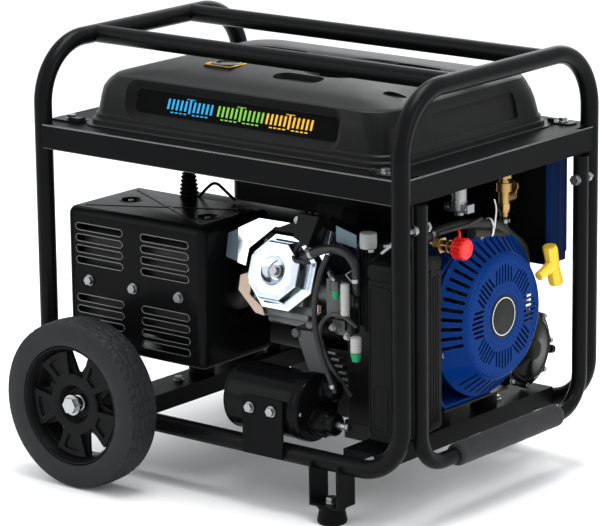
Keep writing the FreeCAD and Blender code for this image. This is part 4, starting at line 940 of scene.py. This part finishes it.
def add_clamp(bm, spot, towards, radius):
    """A spring band clamp with its two bent ears."""
    place = at(*spot, towards)
    add_ring_lathe(bm, [(radius, -3), (radius + 1.1, -3), (radius + 1.1, 3), (radius, 3)], place, 28)
    for turn in (0.2, 0.75):
        ear = place @ Matrix.Rotation(turn, 4, "Z")
        add_block(bm, (radius, -0.5, -2.4), (radius + 3.6, 0.5, 2.4), ear)


def build_hoses():
    smooth = bmesh.new()
    for route, radius in ((BREATHER, 7.4), (VENT, 4.5), (FUEL, 5.8)):
        add_hose(smooth, route, radius)
    make("smooth_hoses", smooth, "hose_rubber", stands_for=("hoses",), angle=60)
    ribbed = bmesh.new()
    path = smooth_path([Vector(p) for p in GAS], 34)
    add_tube(ribbed, path, 8.4, 18, rib=lambda i: 1.0 - 0.12 * (0.5 + 0.5 * math.cos(i * 2.1)))
    add_hose(ribbed, [(300, 66, 434), (302, 84, 428), (300, 104, 414), (292, 120, 398)], 8.4)
    make("ribbed_gas_hose", ribbed, "dark_hose", angle=70)
    straight = bmesh.new()
    add_tube(straight, [(299, 16, 428), (300, 60, 419), (300, 96, 409)], 9.5, 18)
    add_hose(straight, [(316, -96, 452), (318, -60, 452), (316, -20, 450), (309, 30, 452)], 3.0)
    make("lower_gas_hose", straight, "dark_hose", angle=60)
    loop = bmesh.new()
    add_hose(loop, BOWL_LOOP, 3.4)
    make("float_bowl_hose", loop, "grey_hose")
    clamps = bmesh.new()
    for spot, along, radius in (
            ((239, -207, 388), (0.1, 0.1, -1), 7.6), ((150, -206.5, 417), (1, 0, 0.6), 7.6),
            ((TAP_X, TAP_Y, 428), Z, 6), ((279, 189, 276), Z, 6),
            ((206, -228, 215), (0.3, 0.2, -1), 4.6), ((288, -80, 443), (0, 1, 0.1), 8.8)):
        add_clamp(clamps, spot, along, radius)
    make("hose_clamps", clamps, "zinc", bevel=0.2)
    tie = bmesh.new()
    band = at(300, 60, 427, (0, 1, -0.12))
    add_ring_lathe(tie, [(17.4, -2), (18.6, -2), (18.6, 2), (17.4, 2)],
                   band @ Matrix.Scale(0.62, 4, (1, 0, 0)), 36)
    add_block(tie, (10, -4, -3.5), (16, 4, 3.5), band)
    add_hose(tie, [(313, 60, 430), (316, 58, 446), (314, 64, 462), (308, 66, 476)], 1.3)
    make("cable_tie", tie, "white")


# ---------------------------------------------------------------- carburettor side

def build_carburettor():
    plate = bmesh.new()
    add_prism(plate, [(-20, -12), (20, -17), (20, 4), (-20, 14)], 0, 1.6, at(214, -198, 454, -Y))
    add_block(plate, (196, -198, 440), (234, -184, 441.6))
    add_bolt(plate, (200, -192, 442), Z, 8, 3, 5)
    make("choke_bracket", plate, "tin_blue", bevel=0.5)
    cap = bmesh.new()
    place = at(255, -196, 443)
    add_lathe(cap, [(13, -3), (13.8, 2), (13.5, 19), (12.8, 21.2), (11.5, 22), (3, 22.2)], place, 48)
    make("air_valve_cap", cap, "pale_cap", bevel=0.5)
    small = bmesh.new()
    add_prism(small, [(280, 436), (284, 434), (308, 453), (304, 457)], 196, 199, at(0, 0, 0, -Y, X))
    for y in (-214, -176):
        add_bolt(small, (274, y, 440), Z, 8, 3, 5)
    add_bolt(small, (196, -212, 306), -Y, 9, 4, 6)
    add_bolt(small, (226, -214, 296), -Y, 8, 4, 6)
    add_tube(small, [(186, -205, 392), (196, -213, 388), (204, -215, 382)], 5.2)
    add_tube(small, [(230, -205, 402), (224, -214, 396), (236, -216, 388), (246, -206, 396)], 1.5)
    make("carburettor_fittings", small, "zinc", bevel=0.4)
    filters = bmesh.new()
    for x, y, z, radius, height in ((223, -215, 330, 7.5, 52), (251, -224, 276, 9, 26)):
        add_lathe(filters, [(radius * (0.7 if k in (0, 21) else 1) - radius * (0.08 if k % 4 == 3 else 0),
                             height * k / 21) for k in range(22)], at(x, y, z), 28)
    make("fuel_filters", filters, "milky", angle=60)
    green = bmesh.new()
    add_lathe(green, [(2.2, 0), (4.6, 1.5), (6.6, 13), (6.8, 15), (5, 16)], at(203, -214, 353), 28)
    add_lathe(green, [(3, 0), (6.5, 1.5), (8.9, 12), (9, 15)], at(251, -224, 261), 28)
    make("filter_bowls", green, "clear_green", bevel=0.4)
    dark = bmesh.new()
    add_lathe(dark, [(8, 368), (9, 370), (9, 380), (7, 384)], at(203, -214, 0), 28)
    add_block(dark, (188, -203, 300), (212, -196, 316))
    add_prism(dark, centred_outline(16, 10, 4), 0, 7, at(214, -197, 352, -Y))
    for k in range(5):
        add_ring_lathe(dark, [(14, 6 * k), (20.6, 6 * k), (20.6, 6 * k + 2), (14, 6 * k + 2)],
                       at(194, -172, 318), 36)
    make("carburettor_castings", dark, "cast_dark", bevel=0.7)


def build_air_cleaner():
    low, high = mm_box("air_cleaner")
    lid = high.z - 24
    half_x = (high.x - low.x) / 2
    middle_x = (low.x + high.x) / 2
    bm = bmesh.new()
    # the body stops short of the inner face, where a wing over the carburettor's end reaches on
    body_end, wing_x, overlap = high.y - 14, 300, 30
    add_steps(bm, half_x, (body_end - low.y) / 2, (
        (low.z, 5, 8), (low.z + 4, 1.5, 9), (low.z + 60, 1.2, 9), (lid - 4, 1.2, 9), (lid - 3.9, 3, 8),
        (lid, 3, 8), (lid + 0.1, 0.4, 10), (high.z - 10, 0.4, 10), (high.z - 3, 3.5, 9), (high.z, 9, 6)),
              at(middle_x, (low.y + body_end) / 2, 0))
    add_steps(bm, (high.x - wing_x) / 2, (high.y - body_end + overlap) / 2, (
        (low.z + 3, 3, 4), (low.z + 8, 1, 5), (lid - 4, 1, 5), (lid - 3.9, 2.6, 5), (lid, 2.6, 5),
        (lid + 0.1, 0.6, 6), (high.z - 12, 0.6, 6), (high.z - 5, 4, 5)),
              at((wing_x + high.x) / 2, (body_end - overlap + high.y) / 2, 0))
    make("air_cleaner_box", bm, "black_plastic", stands_for=("air_cleaner",), bevel=0.7)
    ribs = bmesh.new()
    tall = (lid - low.z) / 2
    near = at(middle_x, low.y + 1.4, low.z + tall, -Y)
    add_bead(ribs, rounded_outline(-half_x + 8, -tall + 12, half_x - 8, tall - 14, 9), 2.0, near, -0.2)
    add_bead(ribs, rounded_outline(-half_x + 15, -tall + 20, half_x - 15, -tall + 92, 7), 1.5, near, -0.2)
    side = at(high.x - 1.4, 0, 0, X)
    for k in range(17):
        y = low.y + 12 + (high.y - low.y - 24) * k / 16
        add_prism(ribs, rounded_outline(y - 1.1, low.z + 14, y + 1.1, lid - 10, 1), -1, 1.3, side)
    for y in (low.y + 26, high.y - 26):
        add_prism(ribs, rounded_outline(y - 7, lid - 12, y + 7, lid + 14, 3), -1, 1.3, side)
    make("air_cleaner_ribs", ribs, "black_plastic", bevel=0.4)


def build_duct():
    """The intake's flared duct, which opens into the air cleaner's inner face."""
    mouth = mm_box("air_cleaner")[0].x + 1
    bm = bmesh.new()
    add_rings(bm, [[(x, a, b) for a, b in rounded_outline(y0, z0, y1, z1, radius)]
                   for x, y0, y1, z0, z1, radius in (
        (228, -190, -150, 316, 366, 14), (240, -194, -138, 306, 392, 12), (246, -196, -122, 300, 424, 9),
        (mouth, -196, -120, 298, 430, 9))], HERE)
    add_block(bm, (228, -176, 424), (262, -124, 442))
    for k in range(4):
        add_block(bm, (236 + 7 * k, -198, 312), (238.4 + 7 * k, -118, 436))
    make("intake_duct", bm, "black_plastic", bevel=1.5, segments=3)


def build_heat_shield():
    """A dark sheet hangs from the tank rails between the tank and the engine."""
    rail = mm_box("tank_rails")[0]
    shield = bmesh.new()
    add_block(shield, (-124, -62, 441), (262, -60, rail.z - 2))
    add_block(shield, (-124, -92, rail.z - 4), (262, -60, rail.z - 2))
    make("tank_heat_shield", shield, "sheet_black", bevel=0.6)


def build_side_shade_blocks():
    """Near-black blocks that paint the shade behind the carburettor and by the sump, with a row of cooling
    bars.
    """
    shade_blocks = bmesh.new()
    # painted shade: these boxes stand where shade falls behind the carburettor and over the sump
    for low, high in (((158, -128, 124), (262, -96, 296)), ((86, -112, 124), (170, -92, 236)),
                      ((150, -128, 96), (236, -100, 126)), ((176, -128, 290), (262, -106, 430))):
        add_block(shade_blocks, low, high)
    make("engine_side_shade_blocks", shade_blocks, "dark", bevel=2.0)
    bars = bmesh.new()
    for k in range(7):
        x, z = 118 + 7.3 * k, 230 - 10 * k
        add_block(bars, (x - 8, -119, z - 2), (x + 8, -111, z + 2))
    make("sump_fin_bars", bars, "bare_aluminium", bevel=0.6)


# ---------------------------------------------------------------- vapour canister

def build_canister():
    low, high = mm_box("evap_canister")
    place = at(low.x, (low.y + high.y) / 2, (low.z + high.z) / 2, X)
    bm = bmesh.new()
    add_lathe(bm, [(40, 1), (50, 0.6), (54.5, 3), (55.6, 6), (55.6, 8), (54.6, 9), (54.6, 132), (55.6, 133),
                   (55.8, 139), (54.8, 141), (54.8, 145), (55.8, 146), (55.8, 149), (54, 153), (48, 155.4),
                   (30, 155.6)], place, 96)
    make("canister_can", bm, "gloss_plastic", stands_for=("evap_canister",), angle=40, bevel=0.5)
    # the vent port and the purge valve stand on the far end of the can
    end = low.x + 156
    purge_low, purge_high = mm_box("purge_valve")
    vent_at = at(end, -196, 196, X)
    purge_at = at(end, -216, (purge_low.z + purge_high.z) / 2, X)
    port = bmesh.new()
    add_lathe(port, [(21, 0), (21, 5), (18.5, 7), (18, 19), (15.5, 25), (9, 29), (2, 30)], vent_at, 40)
    add_lathe(port, [(25, 0), (25, 3), (22, 4.5), (21.5, 22), (20, 28), (18.5, 30), (18.5, 38),
                     (16.5, 41), (8, 41.6)], purge_at, 48)
    for k in range(8):
        spin = turned(purge_at, 45 * k + 20)
        add_block(port, (19, -1.3, 4), (23.6, 1.3, 26), spin)
    for k in range(3):
        spin = turned(purge_at, 120 * k + 50)
        add_prism(port, rounded_outline(20, -4, 30, 4, 3.5), 0.5, 6, spin)
    make("canister_ports", port, "gloss_plastic", stands_for=("purge_valve",), bevel=0.8)
    spout = bmesh.new()
    add_lathe(spout, [(6.9, 41), (6.9, 48), (5.4, 49), (5.4, 58), (6.9, 60), (6.2, 64), (3.4, 65)],
              purge_at, 28)
    make("purge_spout", spout, "zinc")
    screws = bmesh.new()
    for turn in (62, 180, 300):
        spin = turned(place, turn) @ Vector((47, 0, 155.4))
        add_screw(screws, spin / MM, X, 3.4)
    make("canister_screws", screws, "zinc", bevel=0.3)


# ---------------------------------------------------------------- regulator, valves and pull handle

def build_regulator():
    low, high = mm_box("gas_regulator")
    radius = (high.z - low.z) / 2
    place = at(low.x, (low.y + high.y) / 2, (low.z + high.z) / 2, X)
    bm = bmesh.new()
    lobes = 8
    rings = []
    for height, size, bulge in ((2, 0.80, 0), (8, 0.87, 0.02), (9, 0.93, 0.07), (15.2, 0.93, 0.07),
                                (15.6, 0.90, 0.05), (17, 0.90, 0.05), (17.4, 0.93, 0.07),
                                (22, 0.93, 0.07), (23, 0.88, 0.02)):
        ring = []
        for k in range(160):
            turn = 2 * math.pi * k / 160
            crest = max(0.0, math.cos(lobes * turn)) ** 3
            r = radius * (size + bulge * crest)
            ring.append((r * math.cos(turn), r * math.sin(turn), height))
        rings.append(ring)
    add_rings(bm, rings, place)
    add_lathe(bm, [(radius * 0.84, 20), (radius * 0.82, 26), (radius * 0.76, 29.5), (radius * 0.70, 28.6),
                   (radius * 0.62, 30.5), (radius * 0.30, 34), (radius * 0.24, 37.4), (4, 37.8)], place, 96)
    add_lathe(bm, [(9, 36), (8.6, 37.9), (3, 37.95)], place, 24)
    knob = turned(place, -14)
    add_lathe(bm, [(5, radius * 0.9), (5, radius + 4), (7.5, radius + 5), (7.5, radius + 14),
                   (6, radius + 16), (2, radius + 16.4)],
              moved(knob, 0, 0, 15) @ Matrix.Rotation(math.pi / 2, 4, "Y"), 24)
    make("regulator_case", bm, "gloss_plastic", stands_for=("gas_regulator",), bevel=0.5)
    gasket = bmesh.new()
    add_ring_lathe(gasket, [(radius * 0.86, 15.7), (radius * 0.925, 15.7), (radius * 0.925, 16.9),
                            (radius * 0.86, 16.9)], place, 96)
    make("regulator_gasket", gasket, "copper")
    bolts = bmesh.new()
    add_round_bolts(bolts, [360 / lobes * k for k in range(lobes)], radius * 0.93, moved(place, 0, 0, 22),
                    7.5, 3.4, 5.0)
    make("regulator_bolts", bolts, "zinc", bevel=0.25)


def build_gas_inlet():
    low, high = mm_box("gas_inlet_cap")
    y, z = (low.y + high.y) / 2, (low.z + high.z) / 2
    place = at(low.x, y, z, X)
    width = high.x - low.x
    bm = bmesh.new()
    add_prism(bm, toothed_outline(17.8, 16.4, 96, 8, 5), 1.5, width - 4, place)
    add_lathe(bm, [(17.9, 1), (17.9, 3), (17, 3.2)], place, 64)
    add_lathe(bm, [(17, width - 4.2), (15.5, width - 1.4), (12, width - 0.4), (10, width - 2),
                   (2, width - 2)], place, 64)
    add_hose(bm, [(low.x + 6, y, z + 16), (low.x + 4, y + 4, z + 26), (low.x - 8, y + 10, z + 28)], 2.2)
    make("gas_inlet_dust_cap", bm, "red", stands_for=("gas_inlet_cap",), bevel=0.6)


def build_pull_handle():
    low, high = mm_box("pull_handle")
    pull = Vector((0, math.cos(math.radians(16)), math.sin(math.radians(16))))
    across = X.cross(pull).normalized()
    # the crossbar's middle line runs through the outer end of the CAD handle
    middle = Vector(((low.x + high.x) / 2, 186, 343.5)) + 8 * pull
    bm = bmesh.new()
    # the crossbar: an eight-sided bar, thicker and blunt at its ends
    half = (high.z - low.z) / 2 / across.z - 2
    shape = ((0, 12, 11), (0.4, 12.6, 11.6), (0.8, 13.6, 12), (0.95, 13, 11.4), (1, 11, 9.4))
    rows = [(-share, wide, deep) for share, wide, deep in shape[:0:-1]] + list(shape)
    add_rings(bm, [[(x * wide, y * deep, half * share) for x, y in polygon(1.0, 8, math.pi / 8)]
                   for share, wide, deep in rows], at(*middle, across, X))
    add_rings(bm, [circle(radius, h, 8, math.pi / 8)
                   for h, radius in ((0, 7.4), (2, 8.4), (18, 9.0), (30, 11.0), (38, 13))],
              at(*(middle - pull * 42), pull))
    make("pull_handle_grip", bm, "yellow", "starter_handle", ("pull_handle",), bevel=1.6, segments=3)


def build_valves():
    low, high = mm_box("solenoid_valve")
    middle = (low + high) / 2
    bm = bmesh.new()
    place = at(middle.x, middle.y, low.z)
    height = high.z - low.z
    radius = min(high.x - low.x, high.y - low.y) / 2 - 1
    add_lathe(bm, [(radius * 0.6, 0), (radius * 0.6, 8), (radius, 9), (radius, height - 16),
                   (radius - 1.5, height - 14), (radius * 0.5, height - 14), (radius * 0.5, height - 3),
                   (radius * 0.35, height)], place, 40)
    add_block(bm, (low.x + 1, middle.y - 9, low.z + 6), (high.x - 1, middle.y + 9, low.z + 20))
    for x in (low.x + 7, high.x - 7):
        add_screw(bm, (x, middle.y - 9, low.z + 13), -Y, 3)
    make("fuel_solenoid", bm, "zinc", stands_for=("solenoid_valve",), bevel=0.6)
    low, high = mm_box("tap_lever")
    middle = (low + high) / 2
    lever = bmesh.new()
    place = at(middle.x, low.y, high.z - 10, Y)
    add_lathe(lever, [(9.6, 0.2), (9.6, high.y - low.y - 0.8), (8, high.y - low.y)], place, 28)
    reach = high.z - low.z - 12
    add_prism(lever, [(-5, -reach), (5, -reach), (7, -4), (7, 4), (-7, 4), (-7, -4)], 0.8,
              high.y - low.y - 0.6, place)
    make("fuel_tap_lever", lever, "brass", "tap_lever", ("tap_lever",), bevel=0.8)
    fittings = bmesh.new()
    # the brass node holds the tap, under the tank, and the gas inlet, at the blower's near corner
    tap = at(TAP_X, TAP_Y, 470)
    add_prism(fittings, polygon(14, 6), 30, 46, tap)
    add_prism(fittings, polygon(11, 6), -22, -12, tap)
    for k in range(4):
        add_lathe(fittings, [(7, -34 + 3 * k), (7.6, -33 + 3 * k), (6.6, -31.4 + 3 * k)], tap, 28)
    cap_low, cap_high = mm_box("gas_inlet_cap")
    inlet = at(cap_low.x - 46, (cap_low.y + cap_high.y) / 2, (cap_low.z + cap_high.z) / 2, X)
    add_prism(fittings, polygon(14, 6), 8, 20, inlet)
    add_ring_lathe(fittings, [(9, 30), (11, 31), (11, 34), (9, 35)], inlet, 32)
    make("brass_nuts", fittings, "brass", bevel=0.7)
    boot = bmesh.new()
    add_lathe(boot, [((17.5 if k % 4 < 2 else 14.5) * (1 - 0.012 * k), 1.7 * k) for k in range(25)],
              at(-229, -60, 431), 36)
    add_hose(boot, [(-212, -60, 428), (-196, -60, 446), (-172, -60, 466), (-150, -60, 452),
                    (-129, -60, 439)], 2.6)
    add_hose(boot, [(-229, -60, 470), (-229, -58, 488), (-222, -50, 506), (-206, -40, 520)], 8)
    make("tank_vent_boot", boot, "rubber", angle=50)


build_recoil_cover()
build_blower()
build_head()
build_ignition()
build_hoses()
build_carburettor()
build_air_cleaner()
build_duct()
build_heat_shield()
build_side_shade_blocks()
build_canister()
build_regulator()
build_gas_inlet()
build_pull_handle()
build_valves()


# ---------------------------------------------------------------- control panel

def build_panel():
    low, high = mm_box("control_panel")
    # a black back plate closes the panel's box as a rear cover does, and its black also paints the shade
    # behind the panel
    back = bmesh.new()
    add_block(back, (low.x + 4.4, low.y + 1, low.z + 4.4), (high.x - 4.4, low.y + 2.4, high.z - 4.4))
    for k in range(9):
        x = low.x + 60 + 46 * k
        add_prism(back, slot_outline(4, 60, 4), 0, 2.5, at(x, low.y + 1, low.z + 52, -Y))
    add_prism(back, centred_outline(70, 26, 8), 0, 16, at(40, low.y + 1, high.z - 60, -Y), 0.94)
    make("panel_back_plate_and_shade", back, "sheet_black", bevel=0.8)
    bm = bmesh.new()
    # the pressed end cheeks fold round the panel's box
    for x, side in ((high.x, 1), (low.x, -1)):
        for y, wide in ((low.y + 10, 5), (low.y + 34, 7), (high.y - 8, 5)):
            place = at(x - side * 0.6, y, (low.z + high.z) / 2, (side, 0, 0))
            half = (high.z - low.z) / 2 - 14
            add_prism(bm, rounded_outline(-wide / 2, -half, wide / 2, half, 2), -1, 1.2, place)
    bezel = rounded_outline(low.x + 6, low.z + 6, high.x - 6, high.z - 6, 10)
    face = at(0, high.y, 0, Y)
    add_bead(bm, [(-x, z) for x, z in bezel], 1.6, face, 0.0)
    make("panel_creases", bm, "panel_face", bevel=0.6)
    screws = bmesh.new()
    for x in (low.x + 14, 125, high.x - 14):
        for z in (low.z + 13, high.z - 13):
            add_screw(screws, (x, high.y + 0.1, z), Y, 4.2)
    earth = at(250, high.y, 366, Y)
    add_prism(screws, polygon(9, 6), 0.5, 6, earth)
    add_lathe(screws, [(14, 6), (13, 9), (8, 10)], earth, 24)
    make("panel_screws", screws, "zinc", bevel=0.3)
    # printed bars stand for the panel's lettering
    marks = bmesh.new()
    for x, z, wide in ((-150, 508, 40), (-150, 447, 34), (-150, 404, 34), (250, 392, 26), (190, 518, 52),
                       (190, 430, 52), (0, 520, 90), (0, 430, 60)):
        place = at(x, high.y, z, Y)
        add_block(marks, (-wide / 2, -1.6, 0.1), (wide / 2, 1.6, 0.5), place)
        add_block(marks, (-wide / 4, -5.4, 0.1), (wide / 4, -3.6, 0.5), place)
    make("panel_marks", marks, "white")


def build_outlets():
    faces = bmesh.new()
    slot_shade = bmesh.new()
    back = mm_box("control_panel")[1].y
    high_row = sum(p.z for p in mm_box("left_outlet_cover")) / 2
    low_row = high_row - 88
    for place in [at(x, back, z, Y) for x in (-60, 60, 190) for z in (high_row, low_row)]:
        add_ring_lathe(faces, [(21, 0.2), (29.6, 0.2), (29.6, 3.6), (27.6, 4.8), (23, 4.8), (22, 2.4)],
                       place, 48)
        add_lathe(faces, [(22.2, 0.2), (22.2, 3), (21, 3.8), (2, 3.9)], place, 48)
        # the slots are not cut: thin near-black patches on the face paint the shade inside them
        for k in range(3):
            spin = turned(place, 120 * k + 90)
            add_prism(slot_shade, rounded_outline(8, -1.6, 16, 1.6, 1), 3.6, 4.1, spin)
    make("outlet_bezels", faces, "outlet_face", stands_for=("outlets",), bevel=0.5)
    make("outlet_slot_shade", slot_shade, "dark")
    for name in ("left_outlet_cover", "right_outlet_cover"):
        low, high = mm_box(name)
        middle = (low + high) / 2
        place = at(middle.x, low.y, middle.z, Y)
        wide, tall, deep = (high.x - low.x) / 2, (high.z - low.z) / 2, high.y - low.y
        flap = bmesh.new()
        add_steps(flap, wide, tall, ((0, 1.2, 8), (0.6, 0.2, 9), (deep * 0.55, 0.2, 9), (deep * 0.8, 2, 8),
                                     (deep * 0.8, 6, 6), (deep, 8, 6)), place)
        make(name + "_flap", flap, "black_plastic", name, (name,), bevel=0.3)


def build_switches():
    low, high = mm_box("start_button")
    place = at((low.x + high.x) / 2, low.y, (low.z + high.z) / 2, Y)
    radius, deep = (high.x - low.x) / 2, high.y - low.y
    bm = bmesh.new()
    add_lathe(bm, [(radius - 0.6, 0), (radius - 0.2, 2), (radius - 0.2, deep - 2),
                   (radius - 1.6, deep - 0.4), (radius - 4, deep - 0.8), (2, deep - 1.6)], place, 40)
    make("start_button_cap", bm, "red", "start_button", ("start_button",))
    collar = bmesh.new()
    back = mm_box("control_panel")[1].y
    add_ring_lathe(collar, [(radius + 0.6, 0.1), (radius + 6, 0.1), (radius + 5, 2.6), (radius + 1, 3)],
                   at((low.x + high.x) / 2, back, (low.z + high.z) / 2, Y), 40)
    # each collar runs round the opening in the panel, whose middle sits above the breaker's toggle
    for name, lift, wide, tall in (("ignition_switch", 0, 21, 17), ("main_breaker", 4, 16.5, 22.5)):
        low, high = mm_box(name)
        middle = (low + high) / 2
        outline = centred_outline(wide, tall, 3)
        add_bead(collar, outline, 1.8, at(middle.x, back, middle.z + lift, Y), 0.6)
    make("switch_collars", collar, "black_plastic", bevel=0.3)


build_panel()
build_outlets()
build_switches()


# ---------------------------------------------------------------- frame fittings

def build_handle():
    low, high = mm_box("handle_grip")
    middle = (low + high) / 2
    grip = bmesh.new()
    length = high.y - low.y
    radius = (high.z - low.z) / 2
    # the sleeve's ends are rounded off, its side waves a little, and its bore is the tube's
    profile = []
    for k in range(61):
        t = k / 60
        swell = 1 - 0.16 * max(0, 1 - min(t, 1 - t) * 40) ** 2
        swell *= 1 - 0.012 * math.sin(t * 9.4) - 0.008 * math.sin(t * 31)
        profile.append((radius * 0.985 * swell, length * t))
    add_ring_lathe(grip, profile + [(12.75, length), (12.75, 0)], at(middle.x, low.y, middle.z, Y), 40)
    piece = make("foam_grip", grip, "foam", "handle", ("handle_grip",), angle=70)
    tube_low, tube_high = mm_box("handle_tube")
    caps = bmesh.new()
    for y in (tube_low.y + 12.7, tube_high.y - 12.7):
        add_lathe(caps, [(12.6, 0), (12.6, 2.0), (11, 3.0), (2, 3.2)], at(middle.x, y, tube_high.z - 3.2),
                  36)
    make("handle_caps", caps, "black_plastic", "handle")


def build_feet():
    low, high = mm_box("rubber_feet")
    bm = bmesh.new()
    height, cad_radius = high.z - low.z, 28.5
    # the node holds both feet: the near one at its high X, the far one at its low X
    for x, rail in ((high.x - cad_radius, "near_base_rail"), (low.x + cad_radius, "far_base_rail")):
        y = sum(p.y for p in mm_box(rail)) / 2
        add_lathe(bm, [(21, 0.2), (23.5, 2), (24, 6), (21, height - 8), (24, height - 3), (24, height)],
                  at(x, y, low.z), 48)
    make("rubber_foot_blocks", bm, "rubber", stands_for=("rubber_feet",), angle=40, bevel=0.8)


def build_hub_caps():
    for name, side in (("near", -1), ("far", 1)):
        low, high = mm_box(name + "_wheel_hub")
        middle = (low + high) / 2
        out = high.y if side > 0 else low.y
        place = at(middle.x, out, middle.z, (0, side, 0))
        cap = bmesh.new()
        add_lathe(cap, [(13.5, -23.5), (13.5, -21.5), (11.5, -20.5), (11.5, -10.5), (10, -8.6), (6.2, -8),
                        (6.0, -9.6), (2, -9.8)], place, 36)
        add_prism(cap, polygon(12.4, 6), -20.5, -13, place)
        make(name + "_axle_nut", cap, "steel", "frame", bevel=0.4)


def build_alternator_end():
    """Ribs, a bearing boss and four bolts on the alternator's slotted end plate."""
    low, high = mm_box("alternator_housing")
    radius = (high.y - low.y) / 2
    place = at(low.x, (low.y + high.y) / 2, high.z - radius, -X)
    ends = bmesh.new()
    add_ring_lathe(ends, [(radius - 6, 0.2), (radius - 1, 0.2), (radius - 1, 3), (radius - 2.5, 4.2),
                          (radius - 5, 4.2), (radius - 6, 3)], place, 96)
    add_ring_lathe(ends, [(25, 0.2), (42, 0.2), (40, 7), (36, 8.5), (27, 8.5), (25, 7)], place, 64)
    for k in range(12):
        spin = turned(place, 30 * k + 15)
        add_prism(ends, [(41, -2), (radius - 6, -2), (radius - 6, 2), (41, 2)], 0.2, 4, spin)
    make("alternator_end_ribs", ends, "sheet_black", bevel=0.6)
    bolts = bmesh.new()
    add_round_bolts(bolts, (45, 135, 225, 315), radius - 12, place, 10, 5, 7.5)
    make("alternator_end_bolts", bolts, "zinc", bevel=0.3)


def build_battery_top():
    low, high = mm_box("battery")
    lid = high.z - 8
    trim = bmesh.new()
    middle = at((low.x + high.x) / 2, (low.y + high.y) / 2, lid)
    wide, deep = (high.x - low.x) / 2, (high.y - low.y) / 2
    add_bead(trim, rounded_outline(-wide + 1, -deep + 1, wide - 1, deep - 1, 4), 1.4, middle, -14)
    add_prism(trim, rounded_outline(-wide + 22, -deep + 22, wide - 22, deep - 12, 5), 0.1, 4, middle, 0.97)
    for k in range(6):
        add_lathe(trim, [(7, 4), (7, 5.4), (5, 6.4), (1, 6.6)],
                  moved(middle, -wide + 36 + 14.6 * k, 6, 0), 24)
    make("battery_lid", trim, "black_plastic", bevel=0.5)
    posts = bmesh.new()
    for x in (low.x + 14, high.x - 16):
        add_bolt(posts, (x, low.y + 16, high.z - 0.6), Z, 8, 4, 6)
    make("battery_terminal_bolts", posts, "brass", bevel=0.2)


def build_starter_bands():
    low, high = mm_box("starter_motor")
    radius = 36.0
    place = at(low.x, low.y + radius, low.z + radius, X)
    long = high.x - low.x
    bands = bmesh.new()
    for start in (6, long - 22):
        add_ring_lathe(bands, [(radius - 1, start), (radius + 1.2, start), (radius + 1.2, start + 12),
                               (radius - 1, start + 12)], place, 64)
    for turn in (60, 240):
        spin = turned(place, turn)
        add_lathe(bands, [(2.6, 2), (2.6, long - 2)], moved(spin, radius + 2.4, 0, 0), 16)
    make("starter_bands", bands, "steel", bevel=0.3)


build_handle()
build_feet()
build_hub_caps()
build_alternator_end()
build_battery_top()
build_starter_bands()

# ---------------------------------------------------------------- camera, floor and light

def build_stage():
    ground = bmesh.new()
    bmesh.ops.create_grid(ground, x_segments=8, y_segments=8, size=30.0)
    floor = bpy.data.objects.new("floor", to_mesh(ground, "floor"))
    bpy.context.collection.objects.link(floor)
    floor.data.materials.append(finish("pale_floor", (0.88, 0.88, 0.88), 0.8, vary=0.02, patch=0.4,
                                       grain=60, bump=0.02, shine=0.0))
    world = bpy.data.worlds.new("studio")
    bpy.context.scene.world = world
    world.use_nodes = True
    background = world.node_tree.nodes["Background"]
    background.inputs["Color"].default_value = (0.97, 0.985, 1.0, 1)
    background.inputs["Strength"].default_value = 1.06


def add_softbox(name, spot, aim, size, power, tint=(1, 1, 1)):
    light = bpy.data.lights.new(name, "AREA")
    light.shape = "RECTANGLE"
    light.size, light.size_y = size
    light.energy = power
    light.color = tint
    holder = bpy.data.objects.new(name, light)
    bpy.context.collection.objects.link(holder)
    holder.location = spot
    holder.rotation_euler = (Vector(aim) - Vector(spot)).to_track_quat("-Z", "Y").to_euler()


def build_camera():
    """The photographer stood off the near front corner, a little above the tank."""
    azimuth, pitch, roll = math.radians(38.975), math.radians(14.049), math.radians(-0.69)
    ahead = Vector((-math.sin(azimuth) * math.cos(pitch), math.cos(azimuth) * math.cos(pitch),
                    -math.sin(pitch)))
    right = Vector((math.cos(azimuth), math.sin(azimuth), 0))
    up = right.cross(ahead)
    level_right = right * math.cos(roll) + up * math.sin(roll)
    level_up = up * math.cos(roll) - right * math.sin(roll)
    lens = bpy.data.cameras.new("camera")
    lens.lens = 207.8
    lens.sensor_width = 36.0
    lens.clip_end = 100.0
    camera = bpy.data.objects.new("camera", lens)
    bpy.context.collection.objects.link(camera)
    turn = Matrix((level_right, level_up, -ahead)).transposed().to_4x4()
    camera.matrix_world = Matrix.Translation((3.46796, -4.33695, 1.72851)) @ turn
    bpy.context.scene.camera = camera


build_stage()
build_camera()
add_softbox("key", (-2.3, -2.9, 1.7), (0, 0, 0.35), (1.9, 2.4), 27)
add_softbox("top", (0.1, 0.1, 3.2), (0, 0, 0.4), (2.6, 1.2), 112)
add_softbox("side", (3.4, 0.2, 1.5), (0, 0, 0.35), (1.0, 2.2), 30)
add_softbox("back", (-1.2, 3.0, 2.0), (0, 0, 0.4), (2.0, 1.2), 22)
bpy.context.scene.view_settings.view_transform = "Standard"
